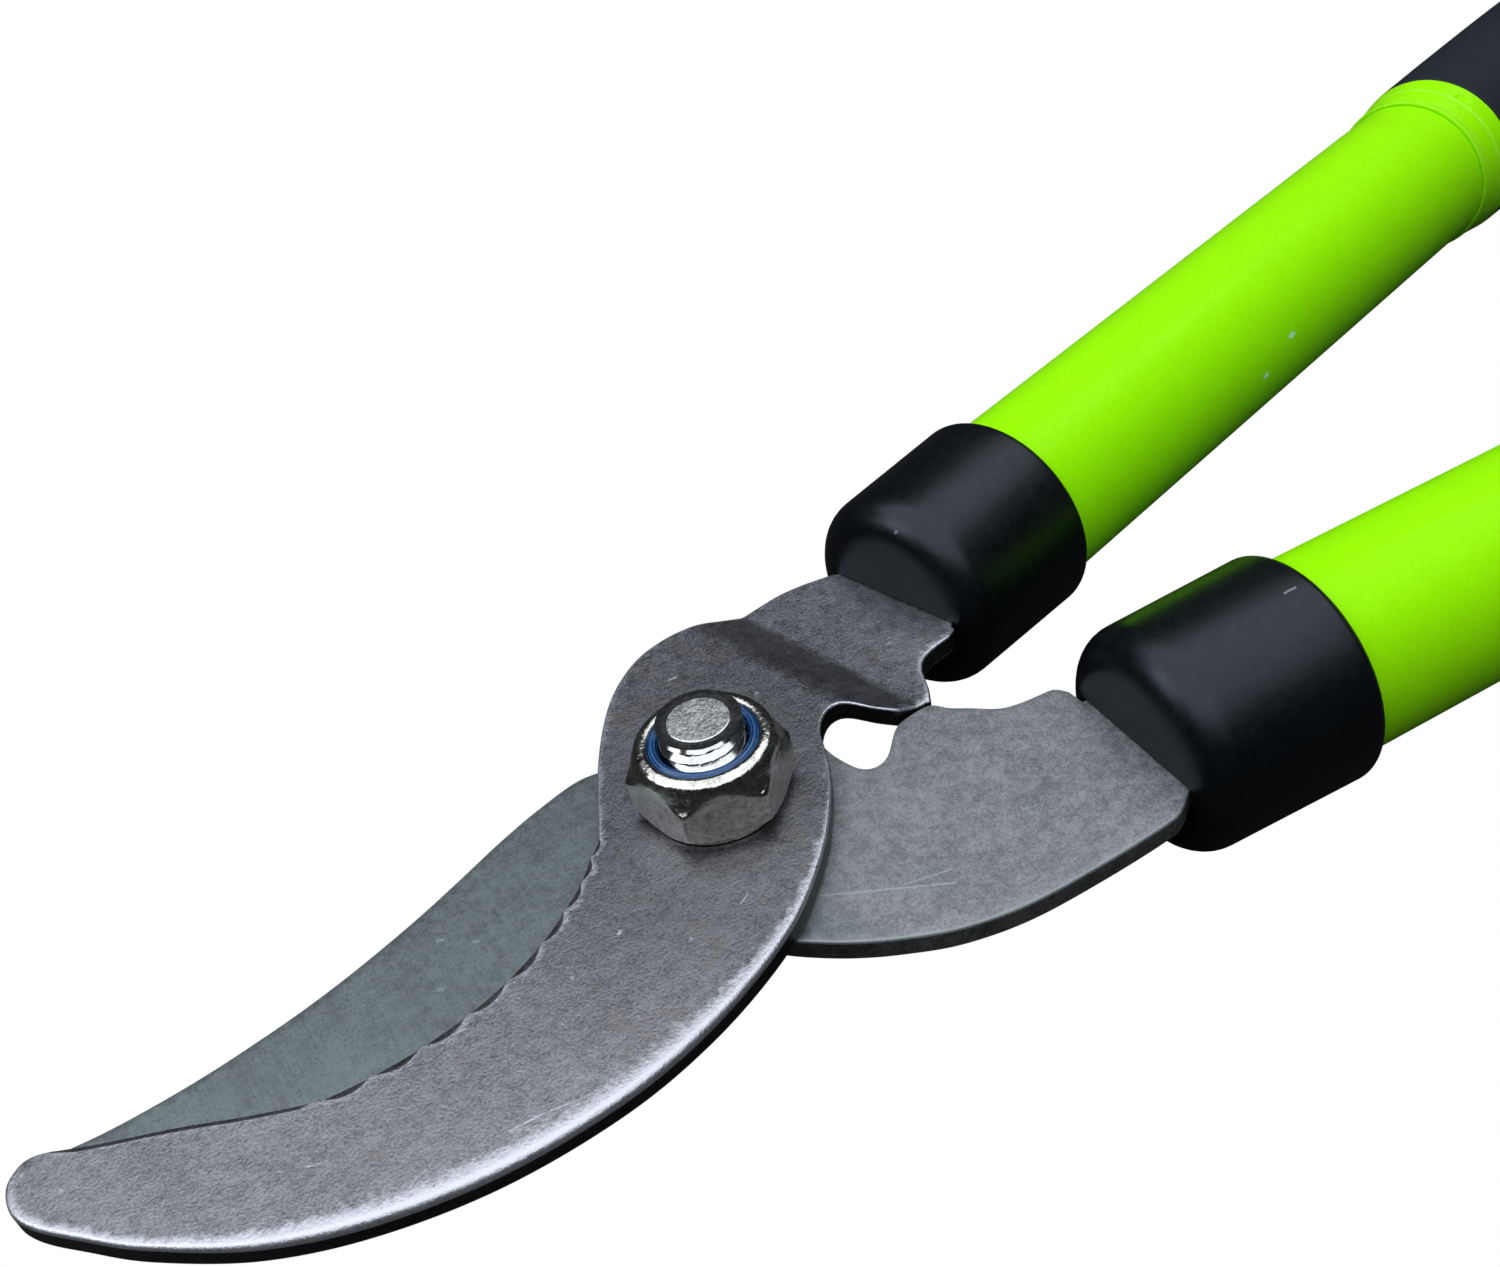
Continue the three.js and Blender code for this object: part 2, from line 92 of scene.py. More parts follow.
# ---- heights along the pivot bolt ----
HOOK_TOP = top_of("hook_blade")
BLADE_TOP = top_of("cutting_blade")
BLADE_LOW = low_of("cutting_blade")
PLATE_T = BLADE_TOP - BLADE_LOW
WASHER_LOW = low_of("pivot_washer")
WASHER_TOP = top_of("pivot_washer")
NUT_LOW = low_of("lock_nut")
NUT_H = top_of("lock_nut") - NUT_LOW
BOLT_TOP = top_of("pivot_bolt")
TUBE_Z = (BLADE_TOP + BLADE_LOW) / 2

# ---- bolt, washer and nut ----
HEX_HALF = 8.5
HEX_TURN = 37
HEAD_H = 6.4
HEX_CORNER_R = 9.95
HEX_CRISPNESS = 90
SHANK_R = 4.95
THREAD_DEPTH = 0.75
THREAD_START = NUT_LOW + 6.0
THREAD_PHASE = 0.15
BOLT_TIP_R = 3.7
PIVOT_HOLE_R = 5.03
WASHER_R = 10.5
NUT_BORE_R = 5.2
NUT_FOOT_R = 9.0
NUT_LIP_R = 8.35
RING_R = 6.4

# ---- handles ----
HANDLE_SPLAY = 9.07
HOOK_AXIS_Y = 9.51
BLADE_AXIS_Y = -19.51
HOOK_COLLAR_S = 41.2
BLADE_COLLAR_S = 43.8
TUBE_R = 12.7
TUBE_WALL = 1.2
TUBE_START = 5.8
COLLAR_R = 14.3
COLLAR_REAR_R = 14.7
COLLAR_LENGTH = 23.6
COLLAR_FACE_T = 5.5
COLLAR_ROUND = 4.4
BORE_GAP = 0.25
FERRULE_S = 136.3
FERRULE_LENGTH = 7.8
DIMPLE_S = 5.6
DIMPLE_DEG = 112.9
DIMPLE_DEPTH = 0.5
GRIP_LENGTH = 205
GRIP_RING_FIRST = 84
GRIP_RING_STEP = 9.5
GRIP_RING_DEPTH = 0.5
GRIP_S = FERRULE_S + FERRULE_LENGTH + BORE_GAP
CAP_S = GRIP_S + GRIP_LENGTH + BORE_GAP
CAP_R = 15.6
TANG_LENGTH = 41
TANG_HALF = 9.4
TANG_NECK = 8.6
SLOT_LOW = {"hook": -10.5, "blade": -9.9}
RIVET_R = 2.5
RIVET_HOLE_R = RIVET_R + 0.2
RIVET_S = 15

# ---- joggle that drops the hook's tang into the cutting blade's plane ----
BEND = (0.9904, 0.1383)
BEND_START = 18.8
BEND_RUN = 8.0
BEND_SOFT = 3.0
BEND_DROP = 3.0

# ---- edges ----
BEVEL_W = 4.5
SCALLOP_DEPTH = 1.15
BITE_SHARE = 0.21
FLUTE_H = 0.45
INNER_CHAMFER = 0.75
OUTLINE_STEP = 0.7
FILLET_STEPS = 6

# ---- outline of the hook, anticlockwise from its tip ----
HOOK_BACK = [
    (-81, 10), (-83.3, 8.4), (-84, 5), (-82.8, 1.5), (-79.5, -3), (-74.5, -9), (-66, -16.5),
    (-56, -22), (-44, -25.8), (-31, -27.2), (-20, -26.2), (-10, -23.5), (-3, -20.2), (4, -15),
    (9, -9.8), (12, -5.8), (13.8, -2.5),
]
HOOK_NOTCH = [(13.8, -2.5), (15, -0.3), (16.8, 1.4), (18.6, 2), (20.3, 1.4), (22.3, -1.1), (24.6, -2.9)]
HOOK_TAB_SIDE = [(29.2, -3.2), (30.4, -1.9), (31.6, 0.3), (32.5, 1.9), (33.9, 3.2), (36, 3.8), (38.8, 4)]
HOOK_TOP_EDGE = [
    (37.4, 25.6), (35.5, 26.3), (32.6, 27.2), (29, 27.8), (24, 27.7), (20, 27.7), (16.8, 27.9),
    (12.2, 28.6), (7.3, 28), (2.3, 25.4), (-2.4, 21.1), (-7.9, 14), (-13.8, 4.4),
]
CUSPS = [
    (-13.8, 4.4), (-16.2, 2.6), (-19, 0.2), (-22.6, -2), (-27, -4.2), (-32.2, -5.9), (-37.6, -6.8),
    (-43.1, -7), (-48.7, -6.5), (-54.2, -5.4),
]
HOOK_INNER = [
    (-54.2, -5.4), (-60.4, -1.8), (-67, 2.4), (-73.8, 6.3), (-77.4, 8.6), (-79, 9.6), (-81, 10),
]

# ---- outline of the cutting blade, anticlockwise from its tip ----
CUTTING_EDGE = [
    (-80.3, 11.6), (-75.5, 4.2), (-67.5, -2.8), (-58, -8.2), (-47, -12.2), (-35, -14.6),
    (-23, -15.4), (-12, -14.6),
]
BLADE_BELLY = [
    (-12, -14.6), (-8.6, -17.6), (-5.3, -21.8), (-1.6, -25.7), (2.6, -29.1), (8, -32.5),
    (15.3, -35.1), (24.7, -36.6), (33.6, -37.4), (36.2, -37), (38, -36), (40.6, -34.9),
]
BLADE_SHOULDER = [
    (40.6, -12.6), (36.7, -11.7), (34, -10.5), (31.8, -8), (30, -6), (29.3, -4.6), (28.6, -3.7),
]
BLADE_WINDOW = [
    (28.6, -3.7), (26.6, -3.5), (24.2, -3.6), (22.8, -4.2), (21.3, -5.4), (19.7, -6.7),
    (18.2, -7.3), (16.8, -7.1), (15.8, -6), (15.3, -3.9), (15.1, -1.9),
]
BLADE_DISC_R = 15.2
BLADE_SPINE = [
    (-4, 15.6), (-8.9, 17.5), (-15.1, 17), (-21.5, 15.7), (-28, 13.9), (-34.2, 12.3), (-40, 11.1),
    (-45.4, 10.2), (-50.7, 9.6), (-56, 9.3), (-62, 9.2), (-68, 9.5), (-74, 10.2), (-80.3, 11.6),
]


# ---------------------------------------------------------------- outlines

def smooth(points, step=OUTLINE_STEP):
    """Evenly spaced points on a curve through the given ones, its last point left out."""
    p = np.array([points[0], *points, points[-1]], float)
    t = np.linspace(0, 1, 24, endpoint=False)[:, None]
    runs = []
    for a, b, c, d in zip(p, p[1:], p[2:], p[3:]):
        v0, v1 = (c - a) / 2, (d - b) / 2
        runs.append((2 * b - 2 * c + v0 + v1) * t**3 + (3 * c - 3 * b - 2 * v0 - v1) * t**2 + v0 * t + b)
    return resample(np.vstack([*runs, p[-1:]]), step)


def resample(line, step=OUTLINE_STEP):
    """Evenly spaced points on a polyline, its last point left out."""
    line = np.array(line, float)
    length = np.concatenate([[0], np.cumsum(np.linalg.norm(np.diff(line, axis=0), axis=1))])
    count = max(1, round(length[-1] / step))
    at = np.linspace(0, length[-1], count + 1)[:-1]
    return np.stack([np.interp(at, length, line[:, k]) for k in (0, 1)], axis=1)


def corners(line, step=OUTLINE_STEP):
    """Points on straight runs that keep every corner, the last point left out."""
    return np.vstack([resample([a, b], step) for a, b in zip(line, line[1:])])


def along(foot, deg, s, n):
    """The point at s along a handle's axis and n to its left."""
    a = math.radians(deg)
    return (s * math.cos(a) - (foot + n) * math.sin(a), s * math.sin(a) + (foot + n) * math.cos(a))


def on_hook(s, n):
    """A point placed from the hook's handle."""
    return along(HOOK_AXIS_Y, HANDLE_SPLAY, s, n)


def on_blade(s, n):
    """A point placed from the cutting blade's handle."""
    return along(BLADE_AXIS_Y, -HANDLE_SPLAY, s, n)


def circle(x, y, r, count=72):
    a = np.arange(count) * 2 * math.pi / count
    return np.stack([x + r * np.cos(a), y + r * np.sin(a)], axis=1)


def bites(depth):
    """The hook's gripping edge: one shallow bite between each two cusps."""
    out = []
    for a, b in zip(np.array(CUSPS[:-1]), np.array(CUSPS[1:])):
        d = b - a
        span = np.linalg.norm(d)
        away = np.array((-d[1], d[0])) / span
        count = max(6, round(span / 0.4))
        for k in np.arange(count) / count:
            out.append(a + d * k + away * min(depth, span * BITE_SHARE) * math.sin(math.pi * k) ** 0.8)
    return np.array(out)


def set_in(line, width):
    """A run of the outline moved inward, less so at its two ends."""
    d = np.gradient(line, axis=0)
    inward = np.stack([-d[:, 1], d[:, 0]], axis=1) / np.linalg.norm(d, axis=1)[:, None]
    at = np.arange(len(line))
    fade = np.clip(np.minimum(at / 3, (len(line) - at) / 8), 0, 1)
    return line + inward * (width * fade)[:, None]


def fading(line):
    """The hook's back edge in short runs: rounded, worn and given a wide painted highlight in its middle,
    crisp near the pivot.
    """
    crisp_x, tip_x = 8, HOOK_BACK[2][0]
    out = []
    for part in np.array_split(line, 30):
        x = part[:, 0].mean()
        worn = min(1, max(0, (crisp_x - x) / 30), max(0.35, (x - tip_x) / 26))
        out.append((part, 0.3 + 0.7 * worn, 0.4 + 2.9 * worn))
    return out


def hook_loops():
    """The hook's outline at its top and below its flutes, with its edge rounding and the width of its worn
    edge and painted highlight.
    """
    end = HOOK_COLLAR_S + TANG_LENGTH
    tab = corners([HOOK_NOTCH[-1], HOOK_TAB_SIDE[0]])
    tang = corners([
        HOOK_TAB_SIDE[-1], on_hook(40.6, -11.2), on_hook(40.9, -10.5), on_hook(41.9, -10),
        on_hook(42.6, -TANG_HALF), on_hook(end - 2, -TANG_HALF), on_hook(end, 2 - TANG_HALF),
        on_hook(end, TANG_HALF - 2), on_hook(end - 2, TANG_HALF), on_hook(41.3, TANG_HALF),
        HOOK_TOP_EDGE[0],
    ])
    runs = [
        *fading(smooth(HOOK_BACK)), (smooth(HOOK_NOTCH), 0.3, 0.3), (tab, 0.3, 0.7),
        (smooth(HOOK_TAB_SIDE), 0.3, 0.6), (tang, 0.25, 0.5), (smooth(HOOK_TOP_EDGE), 0.3, 0.5),
        (bites(SCALLOP_DEPTH), 0.08, 0.2), (set_in(smooth(HOOK_INNER), INNER_CHAMFER), 0.08, 0.2),
    ]
    top, roll, worn = gather(runs)
    runs[-2:] = [(bites(0.05), 0.08, 0.2), (smooth(HOOK_INNER), 0.08, 0.2)]
    return top, gather(runs)[0], roll, worn


def blade_loops():
    """The cutting blade's outline at its top and at its ground underside, with its edge widths."""
    end = BLADE_COLLAR_S + TANG_LENGTH
    tang = corners([
        BLADE_BELLY[-1], on_blade(47.2, -TANG_NECK), on_blade(end - 2, -TANG_NECK),
        on_blade(end, 2 - TANG_NECK), on_blade(end, TANG_HALF - 2), on_blade(end - 2, TANG_HALF),
        on_blade(43.5, TANG_HALF), on_blade(43.3, 11.8), on_blade(42.6, 12.9), BLADE_SHOULDER[0],
    ])
    turn = np.radians(np.arange(0, 97, 3))
    disc = BLADE_DISC_R * np.stack([np.cos(turn), np.sin(turn)], axis=1)
    edge = smooth(CUTTING_EDGE)
    runs = [
        (edge, 0.06, 0.4), (smooth(BLADE_BELLY), 0.35, 0.5), (tang, 0.25, 0.5),
        (smooth(BLADE_SHOULDER), 0.25, 0.4), (smooth(BLADE_WINDOW), 0.25, 0.4),
        (corners([BLADE_WINDOW[-1], disc[0]]), 0.25, 0.4), (disc, 0.25, 0.4),
        (corners([disc[-1], BLADE_SPINE[0]])[1:], 0.25, 0.4), (smooth(BLADE_SPINE), 0.2, 0.4),
    ]
    top, roll, worn = gather(runs)
    low = top.copy()
    count = len(edge)
    for i in range(count):
        d = top[i + 1] - top[i - 1]
        inward = np.array((-d[1], d[0])) / np.linalg.norm(d)
        fade = min(1, i * OUTLINE_STEP / 18, (count - i) * OUTLINE_STEP / 9)
        low[i] = top[i] + inward * BEVEL_W * fade
    return top, low, roll, worn


def gather(runs):
    """One loop from several runs, its rounding and worn width eased from run to run; on the hook that width
    also sets a painted highlight.
    """
    points = np.vstack([r[0] for r in runs])
    widths = np.vstack([np.tile(r[1:], (len(r[0]), 1)) for r in runs])
    reach = 3
    eased = sum(np.roll(widths, k, axis=0) for k in range(-reach, reach + 1)) / (2 * reach + 1)
    return points, eased[:, 0], eased[:, 1]


# ---------------------------------------------------------------- meshes

def inside(points, loop):
    """Which points lie inside a closed loop."""
    x, y = points[:, :1], points[:, 1:]
    a, b = loop, np.roll(loop, -1, axis=0)
    rise = np.where(b[:, 1] == a[:, 1], 1e-12, b[:, 1] - a[:, 1])
    crosses = ((a[:, 1] > y) != (b[:, 1] > y)) & (x < (b[:, 0] - a[:, 0]) * (y - a[:, 1]) / rise + a[:, 0])
    return crosses.sum(axis=1) % 2 == 1


def to_edge(points, loop):
    """Each point's distance to a closed loop, and the loop point that is nearest."""
    a, b = loop, np.roll(loop, -1, axis=0)
    d = b - a
    rel = points[:, None, :] - a[None]
    t = np.clip((rel * d).sum(-1) / np.maximum((d * d).sum(-1), 1e-12), 0, 1)
    away = np.linalg.norm(rel - t[..., None] * d, axis=-1)
    near = away.argmin(axis=1)
    rows = np.arange(len(points))
    nearest = (near + (t[rows, near] > 0.5)) % len(loop)
    return away[rows, near], nearest


def cap(loop, holes, roll, worn, hole_roll=0.2, pitch=(0.8, 1.3)):
    """Points and triangles over a flat outline with round holes: rings near its edge, rows across it.

    Gives the points, the triangles, how far the rounded edge drops at each point, and its wear, which on the
    hook also places a painted highlight.
    """
    d = np.roll(loop, -1, axis=0) - np.roll(loop, 1, axis=0)
    inward = np.stack([-d[:, 1], d[:, 0]], axis=1) / np.linalg.norm(d, axis=1)[:, None]
    kept = []
    for share in (0.1, 0.3, 0.6, 1.0):
        ring = loop + inward * (roll * share)[:, None]
        away, _ = to_edge(ring, loop)
        kept.append(ring[(away > 0.93 * roll * share) & inside(ring, loop)])
    for hole in holes:
        centre = hole.mean(axis=0)
        kept.append(centre + (hole - centre) * (1 + hole_roll / np.linalg.norm(hole[0] - centre)))
    bend, across = np.array(BEND), np.array((-BEND[1], BEND[0]))
    u0, u1 = (loop @ bend).min(), (loop @ bend).max()
    v0, v1 = (loop @ across).min(), (loop @ across).max()
    first, last = (u0 - BEND_START) / pitch[0], (u1 - BEND_START) / pitch[0]
    u = BEND_START + pitch[0] * np.arange(math.ceil(first), last)
    v = np.arange(v0 + 0.4, v1, pitch[1])
    uu, vv = np.meshgrid(u, v)
    shift = (np.arange(len(u)) % 2) * pitch[1] / 2
    grid = uu.reshape(-1, 1) * bend + (vv + shift).reshape(-1, 1) * across
    grid = grid[inside(grid, loop)]
    away, near = to_edge(grid, loop)
    clear = away > roll[near] + 0.45 * pitch[0]
    for hole in holes:
        centre, r = hole.mean(axis=0), np.linalg.norm(hole[0] - hole.mean(axis=0))
        clear &= np.linalg.norm(grid - centre, axis=1) > r + hole_roll + 0.4 * pitch[0]
    points = np.vstack([loop, *holes, *kept, grid[clear]])
    edges, start = [], 0
    for ring in [loop, *holes]:
        n = len(ring)
        edges += [(start + i, start + (i + 1) % n) for i in range(n)]
        start += n
    made = delaunay_2d_cdt([Vector(p) for p in points], edges, [], 0, 1e-6, True)
    flat = np.array([tuple(p) for p in made[0]])
    tris = np.array([f for f in made[2] if len(f) == 3])
    middle = flat[tris].mean(axis=1)
    keep = inside(middle, loop)
    for hole in holes:
        keep &= ~inside(middle, hole)
    away, near = to_edge(flat, loop)
    drop = edge_drop(away, roll[near])
    for hole in holes:
        centre, r = hole.mean(axis=0), np.linalg.norm(hole[0] - hole.mean(axis=0))
        drop = np.maximum(drop, edge_drop(np.linalg.norm(flat - centre, axis=1) - r, hole_roll))
    wear = np.clip(1 - away / np.maximum(worn[near], 1e-6), 0, 1)
    return flat, tris[keep], drop, wear


def edge_drop(away, roll):
    """How far a rounded edge of the given radius lies under its face."""
    short = np.clip(roll - away, 0, roll)
    return roll - np.sqrt(np.maximum(roll**2 - short**2, 0))


def plate(name, loops, holes, top, low, height=None, flute=0.0):
    """A steel plate: two covers with rounded edges, and walls that follow both outlines."""
    rim, foot, roll, worn = loops
    low_roll = np.minimum(roll, 0.25)
    low_roll[np.linalg.norm(rim - foot, axis=1) > 0.3] = 0.04
    verts, faces, wear, side = [], [], [], []

    def put(points, z, rims, sides):
        start = sum(len(v) for v in verts)
        verts.append(np.column_stack([points, np.broadcast_to(z, len(points))]))
        wear.append(np.broadcast_to(rims, len(points)))
        side.append(np.broadcast_to(sides, len(points)))
        return start

    for loop, z, sign, widths in ((rim, top, -1, roll), (foot, low, 1, low_roll)):
        flat, tris, drop, worn_at = cap(loop, holes, widths, worn)
        start = put(flat, z + sign * drop, worn_at, 0)
        faces += [tuple(int(start + k) for k in t) for t in tris]

    def strip(rows):
        for (a, count), (b, _) in zip(rows, rows[1:]):
            faces.extend((a + i, a + (i + 1) % count, b + (i + 1) % count, b + i) for i in range(count))

    n = len(rim)
    cut_back = np.linalg.norm(rim - foot, axis=1) > 0.05
    upper = np.where(cut_back, 0.35, 1.0)
    lower = np.where(cut_back & (flute == 0), 0.35, 1.0)
    first = top - roll
    second = np.minimum(first - 0.1, top - flute)
    # side marks the walls, which the steel finishes paint near-black as painted shade; cut-back edges get
    # less of it
    rows = [
        (put(rim, first, 1, 0), n),
        (put(rim + (foot - rim) * 0.12, first + (second - first) * 0.12, 0.4, upper), n),
        (put(rim + (foot - rim) * (1 if flute else 0.2), second, 0, upper), n),
        (put(foot, low + low_roll + 0.1, 0, lower), n),
        (put(foot, low + low_roll, 0.5, 0.4), n),
    ]
    strip(rows)
    for hole in holes:
        strip([(put(hole, top - 0.2, 0.5, 0), len(hole)), (put(hole, low + 0.2, 0.5, 0), len(hole))])
    points = np.vstack(verts)
    if height is not None:
        points[:, 2] += height(points[:, :2])
    return make_piece(name, points, faces, {"rim": np.concatenate(wear), "side": np.concatenate(side)}, 38)


def hook_height(points):
    """The joggle: a soft bend, a straight ramp and a sharp crease at its foot."""
    d = np.clip(points @ np.array(BEND) - BEND_START, 0, BEND_RUN)
    slope = BEND_DROP / (BEND_RUN - BEND_SOFT / 2)
    return -slope * np.where(d < BEND_SOFT, d**2 / (2 * BEND_SOFT), d - BEND_SOFT / 2)


def make_piece(name, points, faces, marks, sharp_deg=35, place=None):
    """An object from millimetre points, with its faces turned out and its worn places and walls marked; on
    the steel plates the finishes paint a highlight on worn edges and shade on walls.
    """
    mesh = bpy.data.meshes.new(name)
    mesh.from_pydata([tuple(p) for p in np.asarray(points) * MM], [], faces)
    for key, values in marks.items():
        layer = mesh.attributes.new(key, "FLOAT", "POINT")
        layer.data.foreach_set("value", np.asarray(values, np.float32))
    if place is not None:
        mesh.transform(place)
    b = bmesh.new()
    b.from_mesh(mesh)
    bmesh.ops.remove_doubles(b, verts=b.verts, dist=2e-7)
    bmesh.ops.dissolve_degenerate(b, edges=b.edges, dist=1e-8)
    bmesh.ops.recalc_face_normals(b, faces=b.faces)
    b.to_mesh(mesh)
    b.free()
    mesh.shade_smooth()
    mesh.set_sharp_from_angle(angle=math.radians(sharp_deg))
    made = bpy.data.objects.new(name, mesh)
    bpy.context.scene.collection.objects.link(made)
    return made


def rounded(points, closed=True, longest=4.0):
    """Rows (place, radius, wear) along a profile of (place, radius, rounding) corners."""
    rows = []
    for i, (a, r, fillet) in enumerate(points):
        here = np.array((a, r), float)
        if fillet == 0 or (not closed and i in (0, len(points) - 1)):
            rows.append((a, r, 0.0))
            continue
        before = np.array(points[i - 1][:2]) - here
        after = np.array(points[(i + 1) % len(points)][:2]) - here
        reach = min(fillet, 0.48 * np.linalg.norm(before), 0.48 * np.linalg.norm(after))
        start = here + before / np.linalg.norm(before) * reach
        end = here + after / np.linalg.norm(after) * reach
        for t in np.linspace(0, 1, FILLET_STEPS + 1):
            p = (1 - t) ** 2 * start + 2 * t * (1 - t) * here + t**2 * end
            rows.append((p[0], p[1], 1 - abs(2 * t - 1) ** 2))
    if closed:
        rows.append(rows[0])
    full = [rows[0]]
    for a, b in zip(rows, rows[1:]):
        span = math.dist(a[:2], b[:2])
        parts = max(1, math.ceil(span / longest))
        for k in range(1, parts + 1):
            t = k / parts
            wear = b[2] if k == parts else 0.0
            full.append((a[0] + (b[0] - a[0]) * t, a[1] + (b[1] - a[1]) * t, wear))
    return np.array(full)


def turn(name, rows, columns, upright=False, place=None, radius=None, sharp_deg=35, shift=None):
    """A turned piece: profile rows swept round +X, or round +Z where it is upright."""
    a = np.repeat(rows[:, 0], columns)
    r = np.repeat(rows[:, 1], columns)
    theta = np.tile(np.arange(columns) * 2 * math.pi / columns, len(rows))
    if radius is not None:
        r = radius(a, r, theta)
    if shift is not None:
        a = shift(a, r, theta)
    c, s = r * np.cos(theta), r * np.sin(theta)
    points = np.column_stack([c, s, a] if upright else [a, c, s])
    faces = []
    for i in range(len(rows) - 1):
        for j in range(columns):
            k = (j + 1) % columns
            faces.append((i * columns + j, i * columns + k, (i + 1) * columns + k, (i + 1) * columns + j))
    marks = {"rim": np.repeat(rows[:, 2], columns), "side": np.zeros(len(a))}
    return make_piece(name, points, faces, marks, sharp_deg, place)


def soft_box(name, low, high, edge, place):
    """A block with rounded edges, used to cut slots."""
    b = bmesh.new()
    bmesh.ops.create_cube(b, size=1)
    low, high = Vector(low) * MM, Vector(high) * MM
    for v in b.verts:
        v.co = Vector(low[k] + (high[k] - low[k]) * (v.co[k] + 0.5) for k in range(3))
    bmesh.ops.bevel(b, geom=b.edges[:], offset=edge * MM, segments=3, profile=0.5, affect="EDGES")
    mesh = bpy.data.meshes.new(name)
    b.to_mesh(mesh)
    b.free()
    mesh.transform(place)
    made = bpy.data.objects.new(name, mesh)
    bpy.context.scene.collection.objects.link(made)
    return made


def cut(piece, cutter, sharp_deg=35):
    """Cuts one piece with another, which is then removed."""
    modifier = piece.modifiers.new("cut", "BOOLEAN")
    modifier.operation = "DIFFERENCE"
    modifier.solver = "EXACT"
    modifier.object = cutter
    bpy.context.view_layer.update()
    done = bpy.data.meshes.new_from_object(piece.evaluated_get(bpy.context.evaluated_depsgraph_get()))
    piece.modifiers.clear()
    old = piece.data
    piece.data = done
    bpy.data.meshes.remove(old)
    bpy.data.objects.remove(cutter)
    done.shade_smooth()
    done.set_sharp_from_angle(angle=math.radians(sharp_deg))
    return piece


def handle_place(prefix):
    """Where a handle's own axis and start lie, with its x along the tube."""
    sign = 1 if prefix == "hook" else -1
    foot = HOOK_AXIS_Y if prefix == "hook" else BLADE_AXIS_Y
    start = HOOK_COLLAR_S if prefix == "hook" else BLADE_COLLAR_S
    x, y = along(foot, sign * HANDLE_SPLAY, start, 0)
    move = Matrix.Translation(Vector((x, y, TUBE_Z)) * MM)
    return move @ Matrix.Rotation(math.radians(sign * HANDLE_SPLAY), 4, "Z")


HANDLES = (("hook", HOOK_SIDE), ("blade", BLADE_SIDE))


def settle(piece, node, body, material):
    """Gives a piece its finish and its body, and lets it stand for its frame node."""
    piece.data.materials.clear()
    piece.data.materials.append(material)
    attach(piece, body)
    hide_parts(node)


# ---------------------------------------------------------------- shader parts

def add(tree, kind, settings=None, **inputs):
    """A node with its settings and inputs. An input is a value or another node's socket."""
    made = tree.nodes.new(kind)
    for key, value in (settings or {}).items():
        setattr(made, key, value)
    for key, value in inputs.items():
        feed(tree, made.inputs[key.replace("_", " ")], value)
    return made


def feed(tree, socket, value):
    if isinstance(value, bpy.types.NodeSocket):
        tree.links.new(value, socket)
    else:
        socket.default_value = value


def math_of(tree, operation, *values, clamp=False):
    made = add(tree, "ShaderNodeMath", {"operation": operation, "use_clamp": clamp})
    for socket, value in zip(made.inputs, values):
        feed(tree, socket, value)
    return made.outputs[0]


def vector_of(tree, operation, *values):
    made = add(tree, "ShaderNodeVectorMath", {"operation": operation})
    slots = [made.inputs[k] for k in range(len(values))]
    if operation == "SCALE":
        slots[1] = made.inputs["Scale"]
    for socket, value in zip(slots, values):
        feed(tree, socket, value)
    return made.outputs["Value" if operation in ("DOT_PRODUCT", "LENGTH") else "Vector"]


def mix_of(tree, factor, a, b):
    """A colour between two, by a factor from 0 to 1."""
    made = add(tree, "ShaderNodeMix", {"data_type": "RGBA"})
    for index, value in ((0, factor), (6, a), (7, b)):
        if index and isinstance(value, tuple):
            value = (*value[:3], 1.0)
        feed(tree, made.inputs[index], value)
    return made.outputs[2]


def tint(tree, base, mask, share, colour):
    """A base colour moved towards another, by a share of a mask."""
    return mix_of(tree, math_of(tree, "MULTIPLY", mask, share), base, colour)


def scaled(tree, value, factor, offset):
    """A value times a factor, plus an offset."""
    return math_of(tree, "ADD", math_of(tree, "MULTIPLY", value, factor), offset)


def step_of(tree, value, low, high):
    """0 under low, 1 over high, and a smooth ramp between."""
    settings = {"interpolation_type": "SMOOTHSTEP"}
    made = add(tree, "ShaderNodeMapRange", settings, Value=value, From_Min=low, From_Max=high)
    return made.outputs["Result"]


def new_group(name, inputs, outputs):
    """An empty shader group with named number or vector sockets, and its two end nodes."""
    tree = bpy.data.node_groups.new(name, "ShaderNodeTree")
    for key, value in inputs.items():
        kind = "NodeSocketVector" if isinstance(value, tuple) else "NodeSocketFloat"
        tree.interface.new_socket(key, in_out="INPUT", socket_type=kind).default_value = value
    for key in outputs:
        tree.interface.new_socket(key, in_out="OUTPUT", socket_type="NodeSocketFloat")
    start = tree.nodes.new("NodeGroupInput").outputs
    end = tree.nodes.new("NodeGroupOutput").inputs
    place = tree.nodes.new("ShaderNodeTexCoord").outputs["Object"]
    return tree, start, end, place


